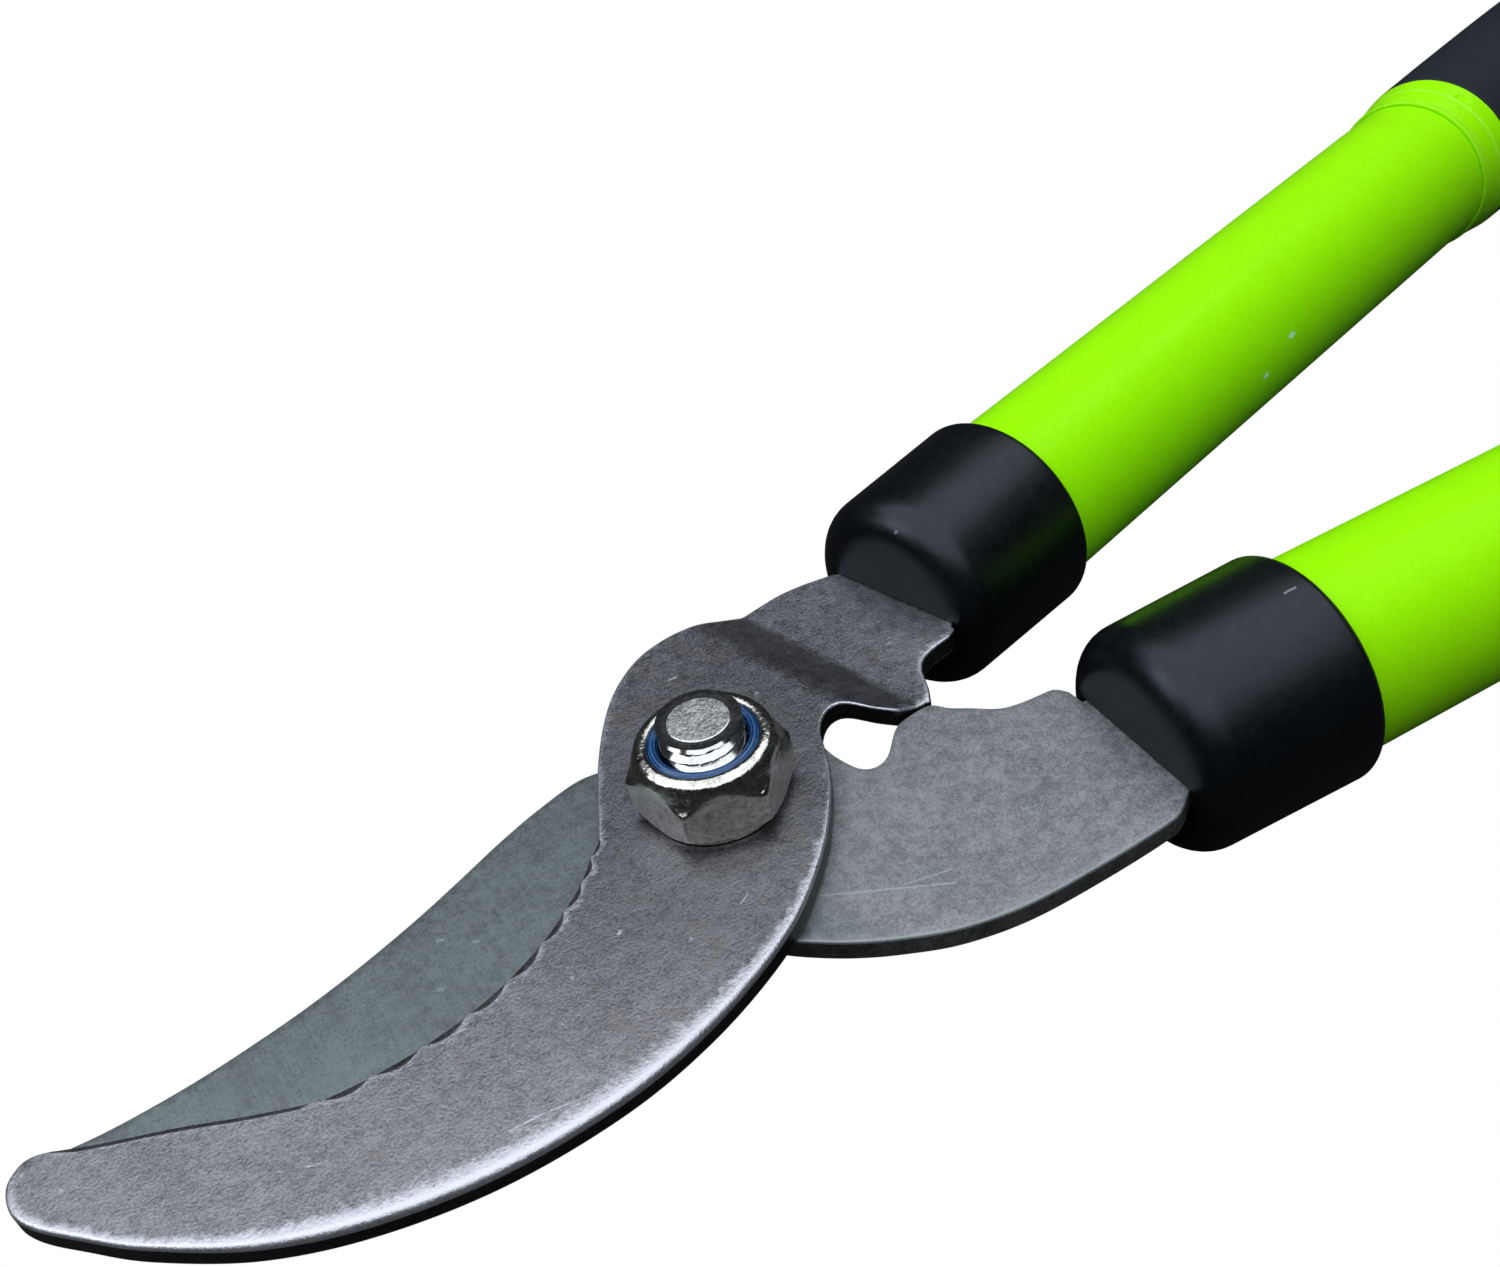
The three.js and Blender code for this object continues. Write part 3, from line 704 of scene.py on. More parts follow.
def mottle_group():
    """Cloudy tone and fine grain, as on tumbled or cast surfaces."""
    inputs = {"Scale": 400.0, "Contrast": 1.0}
    tree, given, out, place = new_group("Loppers Mottle", inputs, ("Tone", "Grain"))
    cloud = add(tree, "ShaderNodeTexNoise", Vector=place, Scale=given["Scale"], Detail=4.0, Roughness=0.62)
    fine_scale = math_of(tree, "MULTIPLY", given["Scale"], 5.5)
    fine = add(tree, "ShaderNodeTexNoise", Vector=place, Scale=fine_scale, Detail=3.0, Roughness=0.7)
    wide_scale = math_of(tree, "MULTIPLY", given["Scale"], 0.17)
    wide = add(tree, "ShaderNodeTexNoise", Vector=place, Scale=wide_scale, Detail=2.0, Roughness=0.5)
    total = math_of(tree, "ADD", cloud.outputs["Fac"], math_of(tree, "MULTIPLY", fine.outputs["Fac"], 1.7))
    total = math_of(tree, "ADD", total, math_of(tree, "MULTIPLY", wide.outputs["Fac"], 0.5))
    centred = math_of(tree, "MULTIPLY", math_of(tree, "SUBTRACT", total, 1.6), given["Contrast"])
    feed(tree, out["Tone"], math_of(tree, "ADD", centred, 0.5, clamp=True))
    feed(tree, out["Grain"], math_of(tree, "ADD", fine.outputs["Fac"], cloud.outputs["Fac"]))
    return tree


def specks_group():
    """Small scattered spots: one in some of the cells of a random pattern."""
    inputs = {"Scale": 300.0, "Share": 0.1, "Size": 0.2}
    tree, given, out, place = new_group("Loppers Specks", inputs, ("Mask",))
    bend = add(tree, "ShaderNodeTexNoise", Vector=place, Scale=math_of(tree, "MULTIPLY", given["Scale"], 2.0))
    moved = vector_of(tree, "SCALE", bend.outputs["Color"], math_of(tree, "DIVIDE", 0.5, given["Scale"]))
    where = vector_of(tree, "ADD", place, moved)
    cells = add(tree, "ShaderNodeTexVoronoi", Vector=where, Scale=given["Scale"])
    random = add(tree, "ShaderNodeSeparateColor", Color=cells.outputs["Color"])
    chosen = math_of(tree, "LESS_THAN", random.outputs[0], given["Share"])
    wide = random.outputs[1]
    size = math_of(tree, "MULTIPLY", given["Size"], math_of(tree, "ADD", wide, 0.4))
    spot = step_of(tree, math_of(tree, "DIVIDE", cells.outputs["Distance"], size), 1.0, 0.55)
    feed(tree, out["Mask"], math_of(tree, "MULTIPLY", chosen, spot))
    return tree


def lines_group():
    """Fine parallel lines in the plane of the blades, running at an angle from +X."""
    inputs = {"Angle": 0.0, "Across": 2500.0, "Along": 60.0, "Low": 0.55, "High": 0.75}
    tree, given, out, place = new_group("Loppers Lines", inputs, ("Mask", "Grain"))
    settings = {"rotation_type": "Z_AXIS"}
    spin = add(tree, "ShaderNodeVectorRotate", settings, Vector=place, Angle=given["Angle"])
    scale = add(tree, "ShaderNodeCombineXYZ", X=given["Along"], Y=given["Across"], Z=given["Along"])
    streak = vector_of(tree, "MULTIPLY", spin.outputs[0], scale.outputs[0])
    noise = add(tree, "ShaderNodeTexNoise", Vector=streak, Scale=1.0, Detail=2.0, Roughness=0.6)
    feed(tree, out["Mask"], step_of(tree, noise.outputs["Fac"], given["Low"], given["High"]))
    feed(tree, out["Grain"], noise.outputs["Fac"])
    return tree


def stroke_group():
    """One scratch or chip: a soft line between two places on the object."""
    inputs = {"Start": (0.0, 0.0, 0.0), "End": (0.01, 0.0, 0.0), "Width": 0.0003}
    tree, given, out, place = new_group("Loppers Stroke", inputs, ("Mask",))
    from_start = vector_of(tree, "SUBTRACT", place, given["Start"])
    whole = vector_of(tree, "SUBTRACT", given["End"], given["Start"])
    share = math_of(
        tree, "DIVIDE", vector_of(tree, "DOT_PRODUCT", from_start, whole),
        vector_of(tree, "DOT_PRODUCT", whole, whole), clamp=True,
    )
    nearest = vector_of(tree, "SCALE", whole, share)
    away = vector_of(tree, "LENGTH", vector_of(tree, "SUBTRACT", from_start, nearest))
    ragged = add(tree, "ShaderNodeTexNoise", Vector=place, Scale=2600.0, Detail=2.0)
    width = math_of(tree, "MULTIPLY", given["Width"], math_of(tree, "MULTIPLY", ragged.outputs["Fac"], 2.0))
    feed(tree, out["Mask"], step_of(tree, math_of(tree, "DIVIDE", away, width), 1.0, 0.3))
    return tree


def wear_group():
    """Rubbed edges: the marked rim, broken up by noise, and the marked walls. The hook's finish paints a
    highlight along the rim, and the steel finishes paint the walls in shade.
    """
    inputs = {"Reach": 0.5, "Breakup": 0.4, "Scale": 500.0}
    tree, given, out, place = new_group("Loppers Edge Wear", inputs, ("Mask", "Side"))
    rim = add(tree, "ShaderNodeAttribute", {"attribute_name": "rim"}).outputs["Fac"]
    side = add(tree, "ShaderNodeAttribute", {"attribute_name": "side"}).outputs["Fac"]
    noise = add(tree, "ShaderNodeTexNoise", Vector=place, Scale=given["Scale"], Detail=4.0, Roughness=0.65)
    rough = math_of(tree, "MULTIPLY", math_of(tree, "SUBTRACT", noise.outputs["Fac"], 0.5), given["Breakup"])
    level = math_of(tree, "ADD", rim, rough)
    low = math_of(tree, "SUBTRACT", 1.0, given["Reach"])
    mask = step_of(tree, math_of(tree, "SUBTRACT", level, low), 0.0, 0.55)
    feed(tree, out["Mask"], mask)
    feed(tree, out["Side"], side)
    return tree


GROUPS = {}


def use(tree, key, **inputs):
    """Places a shared shader group in a material."""
    if key not in GROUPS:
        makers = {
            "mottle": mottle_group, "specks": specks_group, "lines": lines_group,
            "stroke": stroke_group, "wear": wear_group,
        }
        GROUPS[key] = makers[key]()
    made = tree.nodes.new("ShaderNodeGroup")
    made.node_tree = GROUPS[key]
    for name, value in inputs.items():
        feed(tree, made.inputs[name], value)
    return made.outputs


def new_material(name, colour, **values):
    """A material with its Principled shader, whose constant values are set on its own sockets."""
    material = bpy.data.materials.new(name)
    material.use_nodes = True
    tree = material.node_tree
    shader = tree.nodes["Principled BSDF"]
    shader.inputs["Base Color"].default_value = (*colour[:3], 1.0)
    for key, value in values.items():
        shader.inputs[key.replace("_", " ")].default_value = value
    return material, tree, shader


def bump(tree, shader, height, distance_mm, strength=1.0):
    made = add(tree, "ShaderNodeBump", Height=height, Distance=distance_mm * MM, Strength=strength)
    tree.links.new(made.outputs["Normal"], shader.inputs["Normal"])


def toned(colour, factor):
    """A colour made lighter or darker."""
    return tuple(min(1.0, c * factor) for c in tuple(colour)[:3])


# ---------------------------------------------------------------- finishes

HOOK_STROKES = (
    ((-41.3, -22.6), (-38.0, -23.2), 0.17),
    ((-38.6, -23.0), (-34.7, -24.2), 0.14),
    ((7.6, 21.2), (8.5, 21.0), 0.3),
    ((-20.0, -9.4), (-19.6, -9.2), 0.28),
    ((-58.5, -12.0), (-56.5, -12.9), 0.1),
    ((-8.0, -15.5), (-6.5, -14.8), 0.1),
)
BLADE_STROKES = (
    ((0.2, -18.3), (11.7, -27.4), 0.2),
    ((7.6, -23.6), (12.7, -25.6), 0.14),
    ((-34.5, 7.4), (-34.0, 7.1), 0.3),
    ((-31.5, 4.2), (-31.1, 4.0), 0.3),
    ((24.0, -24.5), (25.6, -25.3), 0.1),
    ((31.0, -17.5), (31.8, -17.9), 0.12),
)


def stroke_masks(tree, strokes, z):
    """The strongest of several strokes at one height."""
    total = 0.0
    for (x0, y0), (x1, y1), width in strokes:
        start, end = (x0 * MM, y0 * MM, z * MM), (x1 * MM, y1 * MM, z * MM)
        one = use(tree, "stroke", Start=start, End=end, Width=width * MM)["Mask"]
        total = math_of(tree, "MAXIMUM", one, total)
    return total


# painted shade round the pivot: its share, and where it is full and where it ends, in millimetres from the
# pivot
PIVOT_PAINTED_SHADE = 0.36
PAINTED_SHADE_FULL, PAINTED_SHADE_END = 20, 46


def tumbled_steel():
    """The hook: tumbled grey steel, faintly purple, rubbed bright along its back edge under a painted
    highlight, with painted shade round the pivot and on its walls.
    """
    colour = bpy.context.scene.loppers.hook_colour
    material, tree, shader = new_material("tumbled_steel", colour, Metallic=0.86, IOR=2.2)
    mottle = use(tree, "mottle", Scale=560.0, Contrast=1.75)
    wear = use(tree, "wear", Reach=0.92, Breakup=1.1, Scale=1300.0)
    dirt = use(tree, "specks", Scale=260.0, Share=0.07, Size=0.13)["Mask"]
    glint = use(tree, "specks", Scale=420.0, Share=0.06, Size=0.16)["Mask"]
    hair = use(tree, "lines", Angle=0.5, Across=1500.0, Along=180.0, Low=0.66, High=0.8)["Mask"]
    base = mix_of(tree, mottle["Tone"], toned(colour, 0.66), toned(colour, 1.3))
    place = add(tree, "ShaderNodeTexCoord").outputs["Object"]
    # painted shade: the hook's colour darkens near the pivot, round the nut
    near = step_of(tree, vector_of(tree, "LENGTH", place), PAINTED_SHADE_END * MM, PAINTED_SHADE_FULL * MM)
    base = tint(tree, base, near, PIVOT_PAINTED_SHADE, (0.02, 0.02, 0.02))
    warm = use(tree, "mottle", Scale=60.0, Contrast=1.6)["Tone"]
    base = tint(tree, base, step_of(tree, warm, 0.6, 1.0), 0.4, (0.17, 0.15, 0.13))
    base = tint(tree, base, dirt, 0.75, toned(colour, 0.3))
    base = tint(tree, base, glint, 0.7, toned(colour, 2.0))
    base = tint(tree, base, hair, 0.35, toned(colour, 1.7))
    marks = stroke_masks(tree, HOOK_STROKES, HOOK_TOP)
    base = tint(tree, base, marks, 0.8, toned(colour, 2.3))
    # rubbed edge, brightened further as a painted highlight band along the hook's back edge
    base = tint(tree, base, wear["Mask"], 0.8, toned(colour, 2.5))
    # painted shade: the walls get a near-black colour, darker than their shear-cut steel alone
    shear_wall_painted_shade = mix_of(tree, mottle["Tone"], (0.012, 0.012, 0.012), (0.05, 0.05, 0.052))
    base = mix_of(tree, wear["Side"], base, shear_wall_painted_shade)
    tree.links.new(base, shader.inputs["Base Color"])
    rough = scaled(tree, mottle["Tone"], 0.14, 0.27)
    tree.links.new(rough, shader.inputs["Roughness"])
    bump(tree, shader, mottle["Grain"], 0.07, 0.9)
    return material


REAR_STEEL = (0.15, 0.156, 0.167)
REAR_BLEND = 6


def ground_steel():
    """The cutting blade: satin steel, faintly green, with fine grinding lines across it."""
    colour = bpy.context.scene.loppers.blade_colour
    material, tree, shader = new_material("ground_steel", colour, Metallic=0.6, IOR=2.0)
    mottle = use(tree, "mottle", Scale=640.0, Contrast=1.9)
    wear = use(tree, "wear", Reach=0.8, Breakup=0.3, Scale=900.0)
    across = math.radians(-84)
    grind = use(tree, "lines", Angle=across, Across=2600.0, Along=45.0, Low=0.35, High=0.75)
    hair = use(tree, "lines", Angle=math.radians(30), Across=1500.0, Along=140.0, Low=0.7, High=0.82)["Mask"]
    glint = use(tree, "specks", Scale=380.0, Share=0.05, Size=0.16)["Mask"]
    place = add(tree, "ShaderNodeTexCoord").outputs["Object"]
    along_x = add(tree, "ShaderNodeSeparateXYZ", Vector=place).outputs[0]
    rear = step_of(tree, along_x, -REAR_BLEND * MM, REAR_BLEND * MM)
    base = mix_of(tree, mottle["Tone"], toned(colour, 0.7), toned(colour, 1.25))
    tumbled = mix_of(tree, mottle["Tone"], toned(REAR_STEEL, 0.55), toned(REAR_STEEL, 1.4))
    base = tint(tree, base, grind["Mask"], 0.35, toned(colour, 1.4))
    base = mix_of(tree, rear, base, tumbled)
    base = tint(tree, base, glint, 0.6, toned(colour, 2.0))
    base = tint(tree, base, hair, 0.3, toned(colour, 1.7))
    marks = stroke_masks(tree, BLADE_STROKES, BLADE_TOP)
    base = tint(tree, base, marks, 0.8, toned(colour, 2.2))
    base = tint(tree, base, wear["Mask"], 0.6, toned(colour, 1.6))
    # painted shade: the walls get a near-black colour, darker than their shear-cut steel alone
    shear_wall_painted_shade = mix_of(tree, mottle["Tone"], (0.02, 0.02, 0.02), (0.09, 0.09, 0.09))
    base = mix_of(tree, wear["Side"], base, shear_wall_painted_shade)
    tree.links.new(base, shader.inputs["Base Color"])
    rough = scaled(tree, mottle["Tone"], 0.12, 0.31)
    rough = math_of(tree, "ADD", rough, math_of(tree, "MULTIPLY", rear, 0.08))
    metallic = math_of(tree, "SUBTRACT", 0.6, math_of(tree, "MULTIPLY", rear, 0.35))
    tree.links.new(metallic, shader.inputs["Metallic"])
    tree.links.new(rough, shader.inputs["Roughness"])
    bump(tree, shader, math_of(tree, "ADD", grind["Grain"], mottle["Grain"]), 0.025, 0.8)
    return material


def zinc_steel():
    """The bolt, washer and rivets: bright plating, with sawn or struck ends left dull and pitted."""
    colour = (0.5, 0.5, 0.49)
    material, tree, shader = new_material("zinc_steel", colour, Metallic=1.0)
    mottle = use(tree, "mottle", Scale=520.0, Contrast=1.9)
    ripple = use(tree, "mottle", Scale=300.0, Contrast=1.0)
    wear = use(tree, "wear", Reach=0.6, Breakup=0.5, Scale=1400.0)
    pits = use(tree, "specks", Scale=800.0, Share=0.2, Size=0.26)["Mask"]
    dull = mix_of(tree, mottle["Tone"], toned(colour, 0.45), toned(colour, 1.5))
    dull = mix_of(tree, math_of(tree, "MULTIPLY", pits, 0.7), dull, toned(colour, 0.12))
    base = mix_of(tree, ripple["Tone"], toned(colour, 0.75), toned(colour, 1.25))
    base = mix_of(tree, wear["Mask"], base, (0.8, 0.8, 0.78))
    base = mix_of(tree, wear["Side"], base, dull)
    tree.links.new(base, shader.inputs["Base Color"])
    rough = scaled(tree, ripple["Tone"], 0.1, 0.09)
    rough = math_of(tree, "ADD", rough, math_of(tree, "MULTIPLY", wear["Side"], 0.2))
    tree.links.new(rough, shader.inputs["Roughness"])
    bump(tree, shader, math_of(tree, "MULTIPLY", mottle["Grain"], wear["Side"]), 0.08, 1.0)
    return material


def nickel_plate():
    """The lock nut: bright plating with a warm tint, fine ripples and a few dull spots."""
    colour = bpy.context.scene.loppers.nut_colour
    material, tree, shader = new_material("nickel_plate", colour, Metallic=1.0)
    ripple = use(tree, "mottle", Scale=230.0, Contrast=1.2)
    dull = use(tree, "specks", Scale=500.0, Share=0.12, Size=0.22)["Mask"]
    wear = use(tree, "wear", Reach=0.5, Breakup=0.5, Scale=900.0)
    base = mix_of(tree, ripple["Tone"], toned(colour, 0.45), toned(colour, 1.25))
    base = tint(tree, base, dull, 0.5, toned(colour, 0.4))
    base = tint(tree, base, wear["Mask"], 0.3, (0.75, 0.75, 0.73))
    tree.links.new(base, shader.inputs["Base Color"])
    rough = scaled(tree, ripple["Tone"], 0.14, 0.09)
    rough = math_of(tree, "ADD", rough, math_of(tree, "MULTIPLY", dull, 0.25))
    tree.links.new(rough, shader.inputs["Roughness"])
    bump(tree, shader, ripple["Grain"], 0.09, 0.8)
    return material


def blue_nylon():
    """The nut's insert: deep blue nylon, rubbed paler where the thread has passed."""
    colour = bpy.context.scene.loppers.nylon_colour
    material, tree, shader = new_material("blue_nylon", colour, Subsurface_Weight=0.08)
    mottle = use(tree, "mottle", Scale=500.0, Contrast=1.1)
    wear = use(tree, "wear", Reach=0.5, Breakup=0.7, Scale=1200.0)
    base = mix_of(tree, mottle["Tone"], toned(colour, 0.55), toned(colour, 1.35))
    base = tint(tree, base, wear["Mask"], 0.3, (0.14, 0.34, 0.6))
    tree.links.new(base, shader.inputs["Base Color"])
    tree.links.new(scaled(tree, mottle["Tone"], 0.15, 0.12), shader.inputs["Roughness"])
    bump(tree, shader, mottle["Grain"], 0.04, 0.6)
    return material


def moulded_plastic(name, colour, roughness, scuffs=()):
    """Satin moulded plastic with faint flow marks, small scuffs and pale specks of dust."""
    material, tree, shader = new_material(
        name, colour, Specular_IOR_Level=0.36, Specular_Tint=(0.78, 0.88, 1.0, 1.0),
    )
    mottle = use(tree, "mottle", Scale=150.0, Contrast=1.0)
    grain = use(tree, "mottle", Scale=900.0, Contrast=1.0)["Grain"]
    wear = use(tree, "wear", Reach=0.35, Breakup=0.6, Scale=500.0)
    dust = use(tree, "specks", Scale=240.0, Share=0.025, Size=0.1)["Mask"]
    hair = use(tree, "lines", Angle=1.1, Across=900.0, Along=160.0, Low=0.68, High=0.8)["Mask"]
    base = mix_of(tree, mottle["Tone"], toned(colour, 0.75), toned(colour, 1.3))
    base = tint(tree, base, hair, 0.16, (0.02, 0.023, 0.028))
    base = tint(tree, base, wear["Mask"], 0.12, (0.03, 0.034, 0.04))
    base = tint(tree, base, dust, 0.6, (0.45, 0.45, 0.42))
    for start, end, width in scuffs:
        mark = use(tree, "stroke", Start=start, End=end, Width=width)["Mask"]
        base = tint(tree, base, mark, 0.7, (0.25, 0.27, 0.3))
    tree.links.new(base, shader.inputs["Base Color"])
    rough = scaled(tree, mottle["Tone"], 0.14, roughness - 0.07)
    rough = math_of(tree, "ADD", rough, math_of(tree, "MULTIPLY", hair, 0.08))
    tree.links.new(rough, shader.inputs["Roughness"])
    bump(tree, shader, grain, 0.02, 0.6)
    return material


CHIPS = ((77.85, 165.3), (70.15, 177.8))


def handle_stroke(prefix, s, r, deg, half):
    """The two ends of a short mark that lies along a handle's surface."""
    a = math.radians(deg)
    place = handle_place(prefix)
    return [tuple(place @ (Vector((s + d, r * math.cos(a), r * math.sin(a))) * MM)) for d in (-half, half)]


def lime_paint():
    """The tubes and ferrules: glossy lime green paint with a fine orange-peel and two small chips."""
    colour = bpy.context.scene.loppers.paint_colour
    material, tree, shader = new_material(
        "lime_paint", colour, Specular_IOR_Level=0.1, Specular_Tint=(0.5, 1.0, 0.03, 1.0),
        Coat_IOR=1.3, Coat_Roughness=0.1,
    )
    peel = use(tree, "mottle", Scale=520.0, Contrast=1.0)
    fine = use(tree, "mottle", Scale=1500.0, Contrast=1.3)["Tone"]
    wear = use(tree, "wear", Reach=0.3, Breakup=0.7, Scale=700.0)
    base = mix_of(tree, fine, toned(colour, 0.93), toned(colour, 1.06))
    base = tint(tree, base, peel["Tone"], 0.12, toned(colour, 0.9))
    base = tint(tree, base, wear["Mask"], 0.35, (0.62, 0.95, 0.2))
    for at, deg in CHIPS:
        ends = handle_stroke("hook", at, TUBE_R, deg, 0.35)
        chip = use(tree, "stroke", Start=ends[0], End=ends[1], Width=0.55 * MM)["Mask"]
        base = mix_of(tree, chip, base, (0.5, 0.95, 0.62))
    tree.links.new(base, shader.inputs["Base Color"])
    rough = scaled(tree, fine, 0.12, 0.28)
    tree.links.new(rough, shader.inputs["Roughness"])
    tree.links.new(scaled(tree, peel["Tone"], 0.04, 0.03), shader.inputs["Coat Weight"])
    bump(tree, shader, peel["Grain"], 0.02, 0.35)
    return material


def grip_rubber():
    """The grips: matte blue-black rubber with a fine pebble."""
    colour = bpy.context.scene.loppers.grip_colour
    material, tree, shader = new_material("grip_rubber", colour, Specular_IOR_Level=0.3)
    mottle = use(tree, "mottle", Scale=260.0, Contrast=1.0)
    pebble = use(tree, "mottle", Scale=1100.0, Contrast=1.2)
    wear = use(tree, "wear", Reach=0.45, Breakup=0.5, Scale=600.0)
    dust = use(tree, "specks", Scale=300.0, Share=0.03, Size=0.1)["Mask"]
    base = mix_of(tree, pebble["Tone"], toned(colour, 0.7), toned(colour, 1.4))
    base = tint(tree, base, mottle["Tone"], 0.3, toned(colour, 0.8))
    base = tint(tree, base, wear["Mask"], 0.2, toned(colour, 2.4))
    base = tint(tree, base, dust, 0.4, (0.3, 0.3, 0.3))
    tree.links.new(base, shader.inputs["Base Color"])
    tree.links.new(scaled(tree, pebble["Tone"], 0.16, 0.62), shader.inputs["Roughness"])
    bump(tree, shader, pebble["Grain"], 0.06, 0.9)
    return material


FINISHES = {}


def finish_of(slot):
    """The finish of a material slot, made once."""
    if slot not in FINISHES:
        scuffs = [
            (*handle_stroke("hook", 0.8, 12.4, 99.3, 0.1), 0.0003),
            (*handle_stroke("blade", 20.3, 14.6, 97.8, 0.7), 0.00022),
        ]
        black = tuple(bpy.context.scene.loppers.plastic_colour)
        makers = {
            "tumbled_steel": tumbled_steel,
            "ground_steel": ground_steel,
            "bolt_steel": zinc_steel,
            "nickel_plate": nickel_plate,
            "blue_nylon": blue_nylon,
            "lime_paint": lime_paint,
            "grip_rubber": grip_rubber,
            "black_plastic": lambda: moulded_plastic("black_plastic", black, 0.33, scuffs),
            "grey_plastic": lambda: moulded_plastic("grey_plastic", (0.12, 0.12, 0.13), 0.55),
        }
        FINISHES[slot] = makers[slot]()
    return FINISHES[slot]


# ---------------------------------------------------------------- settings

class LoppersSettings(bpy.types.PropertyGroup):
    """Sizes and colours of the loppers."""

    hook_colour: bpy.props.FloatVectorProperty(
        name="Hook steel", description="Colour of the hook's tumbled steel",
        default=(0.212, 0.212, 0.232), min=0, max=1, subtype="COLOR",
    )
    blade_colour: bpy.props.FloatVectorProperty(
        name="Blade steel", description="Colour of the cutting blade's ground steel",
        default=(0.112, 0.136, 0.14), min=0, max=1, subtype="COLOR",
    )
    nut_colour: bpy.props.FloatVectorProperty(
        name="Nut plating", description="Colour of the lock nut's bright plating",
        default=(0.62, 0.6, 0.55), min=0, max=1, subtype="COLOR",
    )
    nylon_colour: bpy.props.FloatVectorProperty(
        name="Nylon", description="Colour of the lock nut's nylon insert",
        default=(0.004, 0.038, 0.15), min=0, max=1, subtype="COLOR",
    )
    paint_colour: bpy.props.FloatVectorProperty(
        name="Tube paint", description="Colour of the painted tubes and ferrules",
        default=(0.295, 0.82, 0.002), min=0, max=1, subtype="COLOR",
    )
    plastic_colour: bpy.props.FloatVectorProperty(
        name="Plastic", description="Colour of the collars and end caps",
        default=(0.0016, 0.0022, 0.0028), min=0, max=1, subtype="COLOR",
    )
    grip_colour: bpy.props.FloatVectorProperty(
        name="Grip rubber", description="Colour of the grips",
        default=(0.0055, 0.009, 0.0135), min=0, max=1, subtype="COLOR",
    )
    thread_pitch: bpy.props.FloatProperty(
        name="Thread pitch", description="Distance between two turns of the pivot bolt's thread",
        default=0.0015, min=0.0005, unit="LENGTH", precision=4,
    )
    grip_rings: bpy.props.IntProperty(
        name="Grip rings", description="Shallow rings moulded round each grip's rear half",
        default=9, min=0,
    )
    lamp_power: bpy.props.FloatProperty(
        name="Lamp power", description="Power of the large soft lamp overhead",
        default=27, min=0, unit="POWER",
    )
    side_power: bpy.props.FloatProperty(
        name="Side power", description="Power of the lower lamp that picks out rounded edges",
        default=5.5, min=0, unit="POWER",
    )
    lamp_size: bpy.props.FloatProperty(
        name="Lamp size", description="Side of the large soft lamp overhead",
        default=2.0, min=0.1, unit="LENGTH",
    )
    floor_size: bpy.props.FloatProperty(
        name="Floor size", description="Side of the pale floor",
        default=40, min=1, unit="LENGTH",
    )


# ---------------------------------------------------------------- stage

CAMERA_PLACE = (-60.3, -126.9, 146.5)
CAMERA_TARGET = (19.1, 21.9, 14.2)
CAMERA_ROLL = -13.05
CAMERA_LENS = 40.06
CAMERA_SHIFT = 0.0077
LAMP_PLACE = (-0.091, -0.178, 1.0)
LAMP_TURN = -27
LAMP_COLOUR = (0.9, 0.955, 1.0)
SIDE_PLACE = (-1.05, 0.5, 0.85)
SIDE_SIZE = 0.7
SIDE_COLOUR = (0.88, 0.95, 1.0)
FLOOR_GREY = (0.03, 0.03, 0.03, 1)
SURROUND_STRENGTH = 0.035
FLOOR_GAP = 0.0005


def stage_floor(size):
    """A pale floor that lights the object's underside only faintly."""
    steps = 8
    line = np.linspace(-size / 2, size / 2, steps + 1)
    points = [(x, y, CAD_BOX[0].z - FLOOR_GAP) for y in line for x in line]
    n = steps + 1
    starts = [j * n + i for j in range(steps) for i in range(steps)]
    faces = [(k, k + 1, k + n + 1, k + n) for k in starts]
    mesh = bpy.data.meshes.new("floor")
    mesh.from_pydata(points, [], faces)
    floor = bpy.data.objects.new("floor", mesh)
    bpy.context.scene.collection.objects.link(floor)
    material = bpy.data.materials.new("pale_floor")
    material.use_nodes = True
    tree = material.node_tree
    tree.nodes.clear()
    ray = add(tree, "ShaderNodeLightPath").outputs["Is Camera Ray"]
    paper = add(tree, "ShaderNodeBsdfDiffuse", Color=FLOOR_GREY)
    white = add(tree, "ShaderNodeEmission", Color=(1, 1, 1, 1), Strength=1.0)
    shown = add(tree, "ShaderNodeMixShader", Fac=ray)
    tree.links.new(paper.outputs[0], shown.inputs[1])
    tree.links.new(white.outputs[0], shown.inputs[2])
    end = tree.nodes.new("ShaderNodeOutputMaterial")
    under = add(tree, "ShaderNodeNewGeometry").outputs["Backfacing"]
    open_below = add(tree, "ShaderNodeMixShader", Fac=under)
    tree.links.new(shown.outputs[0], open_below.inputs[1])
    tree.links.new(tree.nodes.new("ShaderNodeBsdfTransparent").outputs[0], open_below.inputs[2])
    tree.links.new(open_below.outputs[0], end.inputs["Surface"])
    mesh.materials.append(material)


def stage_world():
    """A dim surround for reflections, which the camera sees as white."""
    world = bpy.data.worlds.new("studio")
    bpy.context.scene.world = world
    world.use_nodes = True
    tree = world.node_tree
    tree.nodes.clear()
    ray = add(tree, "ShaderNodeLightPath").outputs["Is Camera Ray"]
    dim = add(tree, "ShaderNodeBackground", Color=(0.8, 0.88, 1, 1), Strength=SURROUND_STRENGTH)
    white = add(tree, "ShaderNodeBackground", Color=(1, 1, 1, 1), Strength=1.0)
    shown = add(tree, "ShaderNodeMixShader", Fac=ray)
    tree.links.new(dim.outputs[0], shown.inputs[1])
    tree.links.new(white.outputs[0], shown.inputs[2])
    end = tree.nodes.new("ShaderNodeOutputWorld")
    tree.links.new(shown.outputs[0], end.inputs["Surface"])


